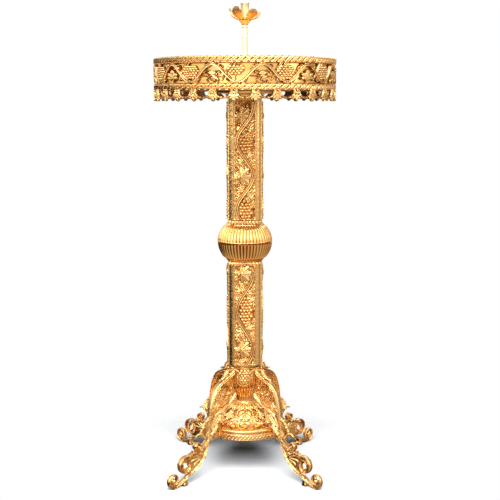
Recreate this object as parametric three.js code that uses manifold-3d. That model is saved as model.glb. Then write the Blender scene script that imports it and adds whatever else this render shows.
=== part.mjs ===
// A standing church candle stand in cast brass, in millimetres, +Z up.
// The origin is on the floor under the column's axis, and the front faces -Y.
import * as THREE from 'three';
import { mergeVertices } from 'three/addons/utils/BufferGeometryUtils.js';
import Module from 'manifold-3d';

const wasm = await Module();
wasm.setup();

// ---------- driving dimensions ----------
const GAP = 0.3; // clearance between touching pieces
const QUARTERS = ['front', 'right', 'rear', 'left'];
const CORNERS = ['front_right', 'rear_right', 'rear_left', 'front_left'];

// legs
const LEG_THICKNESS = 16;
const LEG_INNER_R = 41.2; // where a leg meets the neck collar
const FOOT_CENTRE_R = 247; // foot volute
const FOOT_R = 22.5;
const STUB_R = 212; // middle of the stub foot
const STUB_WIDTH = 15;

// base
const DISC_R = 97;
const DISC_BOTTOM_Z = 96;
const DISC_TOP_Z = 124;
const BELL_TOP_Z = 175;
const CUP_TOP_Z = 215;
const NECK_TOP_Z = 276;
const NECK_R = 40;

// column
const FACE_R = 38; // axis to a face of the column
const FACE_HALF = 30; // half of a face's width, between the chamfers
const WALL = 4;
const PANEL_HALF = 27;
const PANEL_RELIEF = 5.5;
const KNOP_Z = 591; // seam between the knop's two shells
const KNOP_R = 69;
const KNOP_END_R = 46;
const KNOP_BOTTOM_Z = 543;
const KNOP_TOP_Z = 637;
const KNOP_STEPS = 5; // facets from the seam to an end
const COLLAR_HEIGHT = 10;
const COLUMN_TOP_Z = 951;

// tie rod
const ROD_R = 5;
const ROD_BORE_R = 6;
const WASHER_HEIGHT = 2.6;
const NUT_HEIGHT = 8;
const NUT_R = 9.8; // over the corners

// basin, gallery and sand tray
const BASIN_R = 216;
const BASIN_WALL = 2.5;
const BASIN_FLOOR_Z = 965;
const BASIN_RIM_Z = 1036;
const GALLERY_R = 225;
const GALLERY_INNER_R = 217.5;
const GALLERY_TOP_Z = 1044;
const GALLERY_BOTTOM_Z = 941;
const LOWER_RAIL_Z = [968, 982];
const TOP_RAIL_Z = 1028;
const CELLS = 6; // openings in one gallery casting
const LEAVES = 8; // hanging leaves on one gallery casting
const SCREW_Z = 975;
const SCREW_TURN = THREE.MathUtils.degToRad(20); // from a casting's middle to each screw
const TRAY_R = 206;
const TRAY_FLOOR_Z = 984;
const TRAY_WALL = 2;

// candle holder
const SOCKET_R = 10.5;
const SOCKET_TOP_Z = 1016;
const CANDLE_ROD_R = 6;
const SPIGOT_R = 3;
const PAN_Z = 1137;
const PAN_HUB_R = 14;
const PETALS = 5;
const CUP_R = 10;
const CUP_BORE_R = 8.3;
const CUP_FLOOR_Z = 1150;
const TOP_Z = 1180;

// ---------- materials ----------
const brass = (color, roughness) => new THREE.MeshStandardMaterial({ color, roughness, metalness: 1 });
const castBrass = brass(0xd9963c, 0.3);
const polishedBrass = brass(0xe8ad4e, 0.18);
const spunBrass = brass(0xe0a548, 0.25);
const steel = new THREE.MeshStandardMaterial({ color: 0x8d8d8f, roughness: 0.45, metalness: 1 });

// ---------- helpers ----------
const stand = new THREE.Group();

function addPiece(name, geometry, material, parent = stand) {
  const mesh = new THREE.Mesh(geometry, material);
  mesh.name = name;
  parent.add(mesh);
  return mesh;
}

function turnedGroup(angle) {
  const group = new THREE.Group();
  group.rotation.z = angle;
  stand.add(group);
  return group;
}

// Turns a closed (radius, height) profile about Z.
function turned(profile, segments) {
  const points = profile.map(([r, z]) => new THREE.Vector2(r, z));
  if (profile[0][0] > 0) points.push(points[0].clone());
  return new THREE.LatheGeometry(points, segments).rotateX(Math.PI / 2);
}

// Turns a profile about the X axis, for a screw or bolt that lies along the radius.
function turnedAlongX(profile, segments) {
  return turned(profile, segments).rotateY(Math.PI / 2);
}

function shapeOf(points) {
  return new THREE.Shape(points.map(([x, y]) => new THREE.Vector2(x, y)));
}

function pathOf(points) {
  return new THREE.Path(points.map(([x, y]) => new THREE.Vector2(x, y)));
}

// A flat outline in X and Y, from one height to another.
function prism(shape, fromZ, toZ) {
  const geometry = new THREE.ExtrudeGeometry(shape, { depth: toZ - fromZ, bevelEnabled: false });
  return geometry.translate(0, 0, fromZ);
}

// A flat outline in X and Z, of a given thickness across Y.
function uprightPlate(shape, thickness) {
  const geometry = new THREE.ExtrudeGeometry(shape, { depth: thickness, bevelEnabled: false });
  return geometry.rotateX(Math.PI / 2).translate(0, thickness / 2, 0);
}

function arc(x, y, radius, fromDeg, toDeg, steps) {
  const points = [];
  for (let i = 0; i <= steps; i += 1) {
    const angle = THREE.MathUtils.degToRad(fromDeg + ((toDeg - fromDeg) * i) / steps);
    points.push([x + radius * Math.cos(angle), y + radius * Math.sin(angle)]);
  }
  return points;
}

function toManifold(geometry) {
  const plain = geometry.clone();
  plain.deleteAttribute('normal');
  plain.deleteAttribute('uv');
  const merged = mergeVertices(plain, 1e-4);
  return new wasm.Manifold(new wasm.Mesh({
    numProp: 3,
    vertProperties: Float32Array.from(merged.attributes.position.array),
    triVerts: Uint32Array.from(merged.index.array),
  }));
}

function toGeometry(manifold) {
  const mesh = manifold.getMesh();
  const geometry = new THREE.BufferGeometry();
  geometry.setAttribute('position', new THREE.BufferAttribute(mesh.vertProperties, 3));
  geometry.setIndex(new THREE.BufferAttribute(mesh.triVerts, 1));
  return geometry;
}

function cut(geometry, cutters) {
  let solid = toManifold(geometry);
  for (const cutter of cutters) solid = solid.subtract(toManifold(cutter));
  return toGeometry(solid);
}

// A cylinder along X, used as a drill.
function drill(radius, fromX, toX, z) {
  const bar = new THREE.CylinderGeometry(radius, radius, toX - fromX, 10).rotateZ(Math.PI / 2);
  return bar.translate((fromX + toX) / 2, 0, z);
}

// ---------- legs ----------
const BOLT_Z = 105;
const BOLT_R = 4;
const BOLT_END_R = 112;
const FASCIA_INNER_R = 93;

function legOutline() {
  const boss = DISC_R + GAP;
  const beadClear = DISC_R + 4;
  return [
    // inner side, up the neck collar
    [LEG_INNER_R, 200],
    [LEG_INNER_R, 268],
    // crest curl, its leaf tip and the shoulder of the strap
    [60, 268], [68, 266], [74, 257], [79, 247], [91, 243.5], [88, 240.5],
    [100, 233], [113, 219], [121, 203], [127, 184], [130, 164], [134, 152],
    // leaf and thorn on the outside of the strap
    [146, 143], [153, 133], [158, 120], [170, 120], [172, 115], [165, 108],
    // small curl
    ...arc(168, 91, 13, 60, -35, 4),
    // large scroll
    ...arc(209, 52, 27.5, 137, -8, 10),
    // foot volute, flattened where it stands
    ...arc(FOOT_CENTRE_R, FOOT_R, FOOT_R, 115, -75, 12),
    [250, 0], [243, 0], [236, 3], [230, 8], [226, 14],
    // stub foot
    [STUB_R + STUB_WIDTH / 2, 15], [STUB_R + STUB_WIDTH / 2, 0],
    [STUB_R - STUB_WIDTH / 2, 0], [STUB_R - STUB_WIDTH / 2, 17],
    // underside of the strap, up to the disc
    [199, 20], [180, 25], [165, 33], [151, 45], [140, 63], [132, 78], [124, 87], [112, 96.5],
    [boss, 97], [boss, 113.5], [beadClear, 114], [beadClear, 125.5],
    // gusset on the skirt
    [92, 131.5], [84, 137], [82, 150], [90, 153.5], [101, 151], [108, 151], [110, 157],
    // underside of the brace
    [98, 164], [78, 175], [62, 182], [51, 191],
  ];
}

function legGeometry() {
  const outline = shapeOf(legOutline());
  outline.holes.push(pathOf([[214, 47], [219, 47], [222, 53], [219, 60], [215, 58], [212, 52]]));
  return cut(uprightPlate(outline, LEG_THICKNESS), [drill(BOLT_R + GAP, 90, BOLT_END_R + 1, BOLT_Z)]);
}

const bolt = turnedAlongX([
  [0, 87], [7, 87], [7, FASCIA_INNER_R - 1.1], [BOLT_R, FASCIA_INNER_R - 1.1], [BOLT_R, BOLT_END_R],
  [0, BOLT_END_R],
], 8).translate(0, 0, BOLT_Z);

CORNERS.forEach((corner, i) => {
  const group = turnedGroup(-Math.PI / 4 + (i * Math.PI) / 2);
  addPiece(`leg_${corner}`, legGeometry(), castBrass, group);
  addPiece(`leg_bolt_${corner}`, bolt.clone(), steel, group);
});

// ---------- base ----------
const boltHoles = CORNERS.map((_, i) => (
  drill(BOLT_R + GAP, 85, 110, BOLT_Z).rotateZ(-Math.PI / 4 + (i * Math.PI) / 2)
));
addPiece('base_disc', cut(turned([
  [DISC_R, DISC_BOTTOM_Z], [DISC_R, 114], [99.5, 115.5], [100.4, 119], [99.5, 122.5], [97, DISC_TOP_Z],
  [ROD_BORE_R, DISC_TOP_Z], [ROD_BORE_R, 118], [90, 118], [FASCIA_INNER_R, 115],
  [FASCIA_INNER_R, DISC_BOTTOM_Z],
], 28), boltHoles), castBrass);

addPiece('bell_skirt', turned([
  [84, DISC_TOP_Z + GAP], [90, DISC_TOP_Z + GAP], [89, 128], [80, 131], [62, 140], [40, 152], [24, 164],
  [16, 172], [15, BELL_TOP_Z - GAP], [ROD_BORE_R, BELL_TOP_Z - GAP], [ROD_BORE_R, 168], [20, 160],
  [36, 148], [58, 136], [76, 127.5],
], 28), castBrass);

addPiece('fluted_cup', turned([
  [ROD_BORE_R, BELL_TOP_Z], [15, BELL_TOP_Z], [16.5, 185], [21, 197], [26, 207], [29, CUP_TOP_Z - GAP],
  [ROD_BORE_R, CUP_TOP_Z - GAP],
], 24), castBrass);

addPiece('grape_collar', turned([
  [ROD_BORE_R, CUP_TOP_Z], [27, CUP_TOP_Z], [31, 222], [36, 235], [39, 250], [NECK_R, 262],
  [NECK_R, NECK_TOP_Z - GAP], [ROD_BORE_R, NECK_TOP_Z - GAP],
], 24), castBrass);

// ---------- column ----------
// A square with chamfered corners.
function chamferedSquare(faceR, half) {
  const corners = [];
  for (let i = 0; i < 4; i += 1) {
    const turn = (i * Math.PI) / 2;
    for (const side of [-half, half]) {
      corners.push([
        faceR * Math.cos(turn) - side * Math.sin(turn),
        faceR * Math.sin(turn) + side * Math.cos(turn),
      ]);
    }
  }
  return corners;
}

function columnTube(fromZ, toZ) {
  const outline = shapeOf(chamferedSquare(FACE_R, FACE_HALF));
  outline.holes.push(pathOf(chamferedSquare(FACE_R - WALL, FACE_HALF - WALL / 2)));
  return prism(outline, fromZ, toZ);
}

function collar(fromZ) {
  const outline = shapeOf(chamferedSquare(FACE_R + 6, FACE_HALF + 1));
  outline.holes.push(pathOf(arc(0, 0, 24, 0, 330, 11)));
  return prism(outline, fromZ, fromZ + COLLAR_HEIGHT - GAP);
}

// A relief panel, with its length along Z and its face towards +X.
function panelGeometry(fromZ, toZ) {
  const back = FACE_R + GAP;
  const face = FACE_R + PANEL_RELIEF;
  return prism(shapeOf([
    [back, -PANEL_HALF], [back + 2, -PANEL_HALF], [face, -PANEL_HALF + 7],
    [face, PANEL_HALF - 7], [back + 2, PANEL_HALF], [back, PANEL_HALF],
  ]), fromZ, toZ);
}

function addColumn(prefix, fromZ, toZ) {
  addPiece(`${prefix}_column_core`, columnTube(fromZ, toZ), castBrass);
  QUARTERS.forEach((side, i) => {
    const group = turnedGroup(-Math.PI / 2 + (i * Math.PI) / 2);
    addPiece(`${prefix}_panel_${side}`, panelGeometry(fromZ + 1, toZ - 1), castBrass, group);
  });
}

// Half of the knop, hollow, with its wide end at the seam. up is 1 for the upper half and -1 for the lower.
function knopShell(up) {
  const height = up > 0 ? KNOP_TOP_Z - KNOP_Z : KNOP_Z - KNOP_BOTTOM_Z - GAP;
  const endAngle = Math.acos(KNOP_END_R / KNOP_R);
  const outer = [];
  const inner = [];
  for (let i = 0; i <= KNOP_STEPS; i += 1) {
    const angle = (endAngle * i) / KNOP_STEPS;
    const z = (height * Math.sin(angle)) / Math.sin(endAngle);
    outer.push([KNOP_R * Math.cos(angle), KNOP_Z + up * z]);
    if (i < KNOP_STEPS) inner.push([(KNOP_R - WALL) * Math.cos(angle), KNOP_Z + up * z * 0.92]);
  }
  const neck = [[24, KNOP_Z + up * height], [24, KNOP_Z + up * height * 0.92]];
  const profile = [...outer, ...neck, ...inner.reverse()];
  if (up < 0) profile.reverse();
  return turned(profile.map(([r, z]) => [r, z - (up < 0 ? GAP : 0)]), 28);
}

addColumn('lower', NECK_TOP_Z, KNOP_BOTTOM_Z - COLLAR_HEIGHT - GAP);
addPiece('knop_lower_collar', collar(KNOP_BOTTOM_Z - COLLAR_HEIGHT), castBrass);
addPiece('knop_lower_shell', knopShell(-1), polishedBrass);
addPiece('knop_upper_shell', knopShell(1), polishedBrass);
addPiece('knop_upper_collar', collar(KNOP_TOP_Z + GAP), castBrass);
addColumn('upper', KNOP_TOP_Z + COLLAR_HEIGHT + GAP, COLUMN_TOP_Z);

addPiece('column_head', turned([
  [ROD_BORE_R, COLUMN_TOP_Z + GAP], [46, COLUMN_TOP_Z + GAP], [50, 956], [75, 959],
  [75, BASIN_FLOOR_Z - GAP], [ROD_BORE_R, BASIN_FLOOR_Z - GAP],
], 24), castBrass);

// ---------- tie rod ----------
function washer(fromZ) {
  const top = fromZ + WASHER_HEIGHT;
  return turned([[ROD_BORE_R, fromZ], [20, fromZ], [20, top], [ROD_BORE_R, top]], 16);
}

function nut(fromZ) {
  const outline = shapeOf(arc(0, 0, NUT_R, 0, 300, 5));
  outline.holes.push(pathOf(arc(0, 0, ROD_R + GAP, 0, 330, 11)));
  return prism(outline, fromZ, fromZ + NUT_HEIGHT);
}

const BASIN_TOP_OF_FLOOR_Z = BASIN_FLOOR_Z + 3;
const LOWER_WASHER_Z = 118 - GAP - WASHER_HEIGHT;
const UPPER_NUT_Z = BASIN_TOP_OF_FLOOR_Z + WASHER_HEIGHT + 2 * GAP;
addPiece('tie_rod', turned([
  [0, 102], [ROD_R, 102], [ROD_R, UPPER_NUT_Z + NUT_HEIGHT + 1], [0, UPPER_NUT_Z + NUT_HEIGHT + 1],
], 12), steel);
addPiece('tie_rod_lower_washer', washer(LOWER_WASHER_Z), steel);
addPiece('tie_rod_lower_nut', nut(LOWER_WASHER_Z - GAP - NUT_HEIGHT), steel);
addPiece('tie_rod_upper_washer', washer(BASIN_TOP_OF_FLOOR_Z + GAP), steel);
addPiece('tie_rod_upper_nut', nut(UPPER_NUT_Z), steel);

// ---------- basin and gallery ----------
const SCREW_R = 2;
const screwTurns = [];
for (let i = 0; i < 4; i += 1) {
  const middle = -Math.PI / 2 + (i * Math.PI) / 2;
  screwTurns.push(middle - SCREW_TURN, middle + SCREW_TURN);
}
const screwHoles = screwTurns.map((turn) => drill(SCREW_R + GAP, 205, 222.5, SCREW_Z).rotateZ(turn));

const basinInner = BASIN_R - BASIN_WALL;
addPiece('basin', cut(turned([
  [ROD_BORE_R, BASIN_FLOOR_Z], [BASIN_R - 2, BASIN_FLOOR_Z], [BASIN_R, BASIN_FLOOR_Z + 2],
  [BASIN_R, BASIN_RIM_Z], [basinInner, BASIN_RIM_Z], [basinInner, BASIN_TOP_OF_FLOOR_Z + 1],
  [basinInner - 1, BASIN_TOP_OF_FLOOR_Z], [ROD_BORE_R, BASIN_TOP_OF_FLOOR_Z],
], 40), screwHoles), spunBrass);

// The quarter of the plane between azimuths -45 and +45 degrees, less the joint.
function quarterWedge() {
  const far = 400;
  const near = 1;
  return prism(shapeOf([[near, 0], [far, near - far], [far, far - near]]), 900, 1100);
}

// An opening through the gallery wall, drawn by its (angle in degrees, height) corners.
function wallOpening(corners) {
  const middle = 220;
  const points = corners.map(([angle, z]) => [THREE.MathUtils.degToRad(angle) * middle, z]);
  const geometry = new THREE.ExtrudeGeometry(shapeOf(points), { depth: 30, bevelEnabled: false });
  return geometry.rotateX(Math.PI / 2).rotateZ(Math.PI / 2).translate(middle - 15, 0, 0);
}

function galleryCasting() {
  const ring = toManifold(turned([
    [GALLERY_INNER_R, GALLERY_BOTTOM_Z], [220.5, GALLERY_BOTTOM_Z], [220.5, LOWER_RAIL_Z[0]],
    [224, LOWER_RAIL_Z[0] + 1], [224, LOWER_RAIL_Z[1] - 1], [221, LOWER_RAIL_Z[1]], [221, TOP_RAIL_Z],
    [GALLERY_R, TOP_RAIL_Z + 1.5], [GALLERY_R, GALLERY_TOP_Z], [GALLERY_INNER_R, GALLERY_TOP_Z],
  ], 56));
  let casting = ring.intersect(toManifold(quarterWedge()));
  const remove = (cutter) => {
    casting = casting.subtract(toManifold(cutter));
  };
  const cellAngle = 90 / CELLS;
  for (let i = 0; i < CELLS; i += 1) {
    const middle = -45 + cellAngle * (i + 0.5);
    const low = LOWER_RAIL_Z[1] + 4;
    const high = TOP_RAIL_Z - 4;
    const [point, base] = i % 2 ? [high, low] : [low, high];
    const opening = wallOpening([[-5.5, 0], [0, 1], [5.5, 0]].map(([angle, tip]) => (
      [angle, tip ? point : base]
    )));
    remove(opening.rotateZ(THREE.MathUtils.degToRad(middle)));
  }
  const leafAngle = 90 / LEAVES;
  for (let i = 0; i <= LEAVES; i += 1) {
    const notch = wallOpening([[-2.4, 935], [2.4, 935], [1.6, 951], [0, 955], [-1.6, 951]]);
    remove(notch.rotateZ(THREE.MathUtils.degToRad(-45 + leafAngle * i)));
  }
  for (const side of [-1, 1]) remove(drill(SCREW_R + GAP, 205, 222.5, SCREW_Z).rotateZ(side * SCREW_TURN));
  return toGeometry(casting);
}

const screw = turnedAlongX([
  [0, basinInner - 3], [3.6, basinInner - 2.6], [3.6, basinInner - GAP - 0.6],
  [SCREW_R, basinInner - GAP - 0.6], [SCREW_R, 222], [0, 222],
], 8).translate(0, 0, SCREW_Z);

QUARTERS.forEach((side, i) => {
  const group = turnedGroup(-Math.PI / 2 + (i * Math.PI) / 2);
  addPiece(`gallery_${side}`, galleryCasting(), castBrass, group);
  [-1, 1].forEach((hand) => {
    const name = `gallery_screw_${side}_${hand < 0 ? 'a' : 'b'}`;
    addPiece(name, screw.clone().rotateZ(hand * SCREW_TURN), steel, group);
  });
});

// ---------- sand tray ----------
const trayRimZ = BASIN_RIM_Z + GAP;
const trayInner = TRAY_R - TRAY_WALL;
addPiece('sand_tray', turned([
  [0, TRAY_FLOOR_Z], [TRAY_R - 3, TRAY_FLOOR_Z], [TRAY_R, TRAY_FLOOR_Z + 3], [TRAY_R, trayRimZ],
  [BASIN_R, trayRimZ], [BASIN_R, trayRimZ + TRAY_WALL], [trayInner, trayRimZ + TRAY_WALL],
  [trayInner, TRAY_FLOOR_Z + 4], [trayInner - 2, TRAY_FLOOR_Z + 2], [0, TRAY_FLOOR_Z + 2],
], 40), spunBrass);

const SOCKET_Z = TRAY_FLOOR_Z + 2 + GAP;
const socketBore = CANDLE_ROD_R + GAP;
addPiece('rod_socket', turned([
  [0, SOCKET_Z], [26, SOCKET_Z], [26, SOCKET_Z + 3], [13, SOCKET_Z + 5], [SOCKET_R, SOCKET_Z + 8],
  [SOCKET_R, SOCKET_TOP_Z], [socketBore, SOCKET_TOP_Z], [socketBore, SOCKET_Z + 4], [0, SOCKET_Z + 4],
], 16), polishedBrass);

// ---------- candle holder ----------
const CALYX_Z = 1125;
const spigotBore = SPIGOT_R + GAP;
addPiece('candle_rod', turned([
  [0, SOCKET_Z + 4 + GAP], [CANDLE_ROD_R, SOCKET_Z + 4 + GAP], [CANDLE_ROD_R, CALYX_Z - GAP],
  [SPIGOT_R, CALYX_Z - GAP], [SPIGOT_R, 1146], [0, 1146],
], 16), polishedBrass);

addPiece('calyx', turned([
  [spigotBore, CALYX_Z], [6, CALYX_Z], [9, CALYX_Z + 4], [15, PAN_Z - GAP], [spigotBore, PAN_Z - GAP],
], 20), castBrass);

// The drip pan is a dish whose rim is drawn in between its petals. The first petal is at azimuth 18 degrees.
function dripPan() {
  const dish = turned([
    [spigotBore, PAN_Z], [PAN_HUB_R, PAN_Z], [24, 1139], [34, 1146], [40, 1155], [42.5, 1162],
    [41, 1163], [38.2, 1156.5], [32.5, 1148], [23, 1141], [PAN_HUB_R, PAN_Z + 2], [spigotBore, PAN_Z + 2],
  ], 40);
  const position = dish.attributes.position;
  const petalTurn = (2 * Math.PI) / PETALS;
  for (let i = 0; i < position.count; i += 1) {
    const x = position.getX(i);
    const y = position.getY(i);
    const z = position.getZ(i);
    const radius = Math.hypot(x, y);
    if (radius > PAN_HUB_R + 1) {
      const turn = (Math.atan2(y, x) - Math.PI / 10) / petalTurn;
      const offset = Math.abs(turn - Math.round(turn)) * 2;
      const reach = Math.sqrt(Math.cos(offset * 1.45));
      const grown = PAN_HUB_R + (radius - PAN_HUB_R) * reach;
      const drop = (z - PAN_Z - 2) * (1 - reach ** 1.5);
      position.setXYZ(i, (x * grown) / radius, (y * grown) / radius, z - Math.max(drop, 0));
    }
  }
  return dish;
}
addPiece('drip_pan', dripPan(), polishedBrass);

const CUP_Z = PAN_Z + 2 + GAP;
addPiece('candle_cup', turned([
  [spigotBore, CUP_Z], [CUP_R - 1, CUP_Z], [CUP_R, CUP_Z + 2], [CUP_R, TOP_Z], [CUP_BORE_R, TOP_Z],
  [CUP_BORE_R, CUP_FLOOR_Z], [0, CUP_FLOOR_Z], [0, 1146 + GAP], [spigotBore, 1146 + GAP],
], 20), polishedBrass);

export default stand;
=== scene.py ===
"""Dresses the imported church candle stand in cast, chased and polished brass."""

import math

import bpy
import numpy as np
from bpy.props import FloatProperty, FloatVectorProperty, IntProperty, PointerProperty
from bpy.types import Operator, Panel, PropertyGroup
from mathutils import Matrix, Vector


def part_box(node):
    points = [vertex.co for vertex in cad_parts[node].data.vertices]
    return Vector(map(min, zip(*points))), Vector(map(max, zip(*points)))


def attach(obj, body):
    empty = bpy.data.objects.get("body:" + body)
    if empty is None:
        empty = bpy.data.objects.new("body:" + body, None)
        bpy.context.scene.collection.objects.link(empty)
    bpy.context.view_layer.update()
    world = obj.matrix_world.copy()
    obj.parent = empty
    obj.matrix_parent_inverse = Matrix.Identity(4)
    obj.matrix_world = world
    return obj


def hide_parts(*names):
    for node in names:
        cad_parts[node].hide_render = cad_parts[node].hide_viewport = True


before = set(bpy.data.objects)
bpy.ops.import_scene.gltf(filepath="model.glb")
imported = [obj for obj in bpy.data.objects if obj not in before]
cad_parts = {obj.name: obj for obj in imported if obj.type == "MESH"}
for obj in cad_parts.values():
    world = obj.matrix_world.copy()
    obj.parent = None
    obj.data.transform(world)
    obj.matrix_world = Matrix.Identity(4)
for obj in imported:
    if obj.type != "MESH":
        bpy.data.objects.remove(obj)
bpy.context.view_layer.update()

bl_info = {
    "name": "Church Candle Stand",
    "version": (1, 0, 0),
    "blender": (4, 5, 0),
    "location": "3D View > Sidebar > Candle Stand",
    "description": "Builds the castings of a standing church candle stand around its packed frame",
    "category": "Add Mesh",
}

MM = 0.001
FULL_SHADE = 6.0  # recess value at which a surface is painted in full shade: the gallery's back and the basin's underside
QUARTERS = ("front", "right", "rear", "left")
CORNERS = ("front_right", "rear_right", "rear_left", "front_left")


def span(node):
    """Lowest and highest corners of a frame node, in millimetres."""
    low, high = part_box(node)
    return np.array(low) / MM, np.array(high) / MM


# ---------- lines and outlines ----------


def smooth_line(points, steps=7):
    """A Catmull-Rom line through the points."""
    p = np.array(points, float)
    p = np.vstack([2 * p[0] - p[1], p, 2 * p[-1] - p[-2]])
    t = np.linspace(0, 1, steps, endpoint=False)[:, None]
    line = []
    for a, b, c, d in zip(p[:-3], p[1:-2], p[2:-1], p[3:]):
        bend = (2 * a - 5 * b + 4 * c - d) * t**2 + (3 * b - a - 3 * c + d) * t**3
        line.append(0.5 * (2 * b + (c - a) * t + bend))
    return np.vstack(line + [p[-2:-1]])


def spiral(centre, outer, inner, start_deg, turns, steps=36):
    """Points that wind in around a centre; negative turns wind clockwise."""
    t = np.linspace(0, 1, steps)
    angle = math.radians(start_deg) + 2 * math.pi * turns * t
    radius = outer + (inner - outer) * t**0.8
    return np.column_stack([centre[0] + radius * np.cos(angle), centre[1] + radius * np.sin(angle)])


def resampled(points, step, curved=False):
    """Points spaced about a step apart along straight runs, or along a smooth line."""
    p = smooth_line(points) if curved else np.array(points, float)
    out = [p[:1]]
    for a, b in zip(p[:-1], p[1:]):
        count = max(1, int(round(np.linalg.norm(b - a) / step)))
        out.append(a + (b - a) * (np.arange(1, count + 1)[:, None] / count))
    return np.vstack(out)


def arc(centre, reach, rise, start, end, count):
    """Points along an oval arc, its angles in radians."""
    turns = np.linspace(start, end, count)
    return [(centre[0] + reach * math.cos(a), centre[1] + rise * math.sin(a)) for a in turns]


def grain(u, v, size):
    """Soft irregular lumps of a given size, between -1 and 1."""
    a, b = u / size, v / size
    return (
        np.sin(3.1 * a + 1.7 * np.sin(2.3 * b + 0.4)) * np.sin(2.9 * b + 1.9 * np.sin(2.1 * a + 1.1))
        + 0.5 * np.sin(7.3 * a - 4.1 * b + 2.0 * np.sin(5.3 * b)) * np.sin(6.1 * b + 3.7 * a)
    ) / 1.5


def from_line(u, v, line):
    """How far each point is from a line, and how far along the line its nearest spot is, from 0 to 1."""
    away = np.full(u.shape, 1e9)
    along = np.zeros(u.shape)
    for i, (a, b) in enumerate(zip(line[:-1], line[1:])):
        d = b - a
        t = np.clip(((u - a[0]) * d[0] + (v - a[1]) * d[1]) / max(d @ d, 1e-9), 0, 1)
        gone = np.hypot(u - a[0] - t * d[0], v - a[1] - t * d[1])
        closer = gone < away
        away = np.where(closer, gone, away)
        along = np.where(closer, (i + t) / (len(line) - 1), along)
    return away, along


# ---------- carving ----------


class Carving:
    """Relief drawn on a sheet of points: how far each is inside the metal, and how high the metal stands."""

    def __init__(self, u, v, metal=-50.0):
        self.u = u
        self.v = v
        self.metal = np.zeros(u.shape) + metal
        self.height = np.zeros(u.shape)

    def near(self, low, high):
        """The points inside a box."""
        u, v = self.u, self.v
        return np.nonzero((u > low[0]) & (u < high[0]) & (v > low[1]) & (v < high[1]))[0]

    def lay(self, at, inside, height):
        """Joins metal to what is there; the higher surface shows."""
        self.metal[at] = np.maximum(self.metal[at], inside)
        self.height[at] = np.maximum(self.height[at], np.where(inside > 0, height, -50.0))

    def pierce(self, centre, radius):
        """Drills a round hole."""
        self.metal = np.minimum(self.metal, np.hypot(self.u - centre[0], self.v - centre[1]) - radius)

    def stem(self, line, width, height, end_width=None, groove=0.5, flat=4):
        """A stalk along a line, round or flat on top, with a groove down its middle."""
        line = np.asarray(line, float)
        at = self.near(line.min(0) - width, line.max(0) + width)
        away, along = from_line(self.u[at], self.v[at], line)
        end = width if end_width is None else end_width
        half = (width + (end - width) * along) / 2
        t = np.clip(away / half, 0, 1)
        shape = np.sqrt(1 - t**flat) * (1 - groove * np.exp(-((t / 0.26) ** 2)))
        self.lay(at, half - away, height * shape * np.clip(half * 2 / width, 0.5, 1))

    def trench(self, line, width, height):
        """Lowers what is there along a line, so that what is laid on it next stands clear."""
        away = from_line(self.u, self.v, np.asarray(line, float))[0]
        self.height = np.where(away < width / 2, np.minimum(self.height, height), self.height)

    def patch(self, outline, height, rib=0.0, root=(0, 0), ribs=24):
        """A web with a straight-sided outline, with ribs that fan out from a root."""
        p = np.array(outline, float)
        at = self.near(p.min(0) - 3, p.max(0) + 3)
        u, v = self.u[at], self.v[at]
        away = from_line(u, v, np.vstack([p, p[:1]]))[0]
        inside = np.zeros(u.shape, bool)
        for a, b in zip(p, np.roll(p, -1, 0)):
            d = b - a
            crosses = (a[1] > v) != (b[1] > v)
            level = np.where(crosses, (v - a[1]) * d[0] / (d[1] if abs(d[1]) > 1e-9 else 1e-9) + a[0], -1e9)
            inside ^= crosses & (u < level)
        deep = np.where(inside, away, -away)
        fan = rib * np.cos(ribs * np.arctan2(v - root[1], u - root[0])) * np.clip(deep / 3, 0, 1)
        self.lay(at, deep, height * (0.75 + 0.25 * np.clip(deep / 2, 0, 1)) + fan)

    def ball(self, centre, radius, height, base=0.0):
        """A grape, bead or boss."""
        at = self.near(np.array(centre) - radius, np.array(centre) + radius)
        away = np.hypot(self.u[at] - centre[0], self.v[at] - centre[1])
        dome = np.sqrt(np.clip(1 - (away / radius) ** 2, 0, 1))
        self.lay(at, radius - away, base + (height - base) * dome)

    def grapes(self, centre, rows, size, height, base=1.0):
        """A bunch of grapes that hangs down, its rows counted from the top."""
        pitch = size * 0.86
        for i, count in enumerate(rows):
            y = ((len(rows) - 1) / 2 - i) * pitch
            for k in range(count):
                x = (k - (count - 1) / 2) * size
                lift = 1 - 0.28 * abs(x) / (max(rows) * size / 2)
                jitter = 0.09 * size * math.sin(12.9 * i + 7.3 * k)
                place = (centre[0] + x + jitter, centre[1] + y - jitter)
                self.ball(place, size * 0.56, height * lift, base)

    def leaf(self, root, size, point_deg, height, base=1.0, lobes=5, spread=52.0, ribs=2):
        """A vine leaf: lobes that fan from a root, with ribs and a toothed edge."""
        at = self.near(np.array(root) - size * 1.1, np.array(root) + size * 1.1)
        x, y = self.u[at] - root[0], self.v[at] - root[1]
        away = np.hypot(x, y)
        angle = (np.degrees(np.arctan2(y, x)) - point_deg + 180) % 360 - 180
        reach = np.full(away.shape, 0.3 * size)
        vein = np.zeros(away.shape)
        for k in range(lobes):
            lobe = (k - (lobes - 1) / 2) * spread
            off = (angle - lobe + 180) % 360 - 180
            length = size * (1 - 0.13 * abs(k - (lobes - 1) / 2))
            tongue = np.cos(np.radians(np.clip(off * 90 / (spread * 0.72), -90, 90)))
            teeth = 1 + 0.05 * np.cos(np.radians(off) * 22)
            reach = np.maximum(reach, length * tongue**0.55 * teeth)
            across = away * np.abs(np.sin(np.radians(off)))
            vein = np.maximum(vein, np.where(np.abs(off) < 80, np.exp(-((across / (size * 0.045)) ** 2)), 0))
        t = np.clip(away / reach, 0, 1)
        fan = 0.5 + 0.5 * np.cos(np.radians(angle) * 360 / spread * ribs)
        dome = (0.62 + 0.38 * np.sqrt(np.clip(1 - t**3, 0, 1))) - 0.42 * fan * t * (1 - t**5) + 0.24 * vein
        self.lay(at, (reach - away) * 0.8, base + (height - base) * dome)

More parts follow.
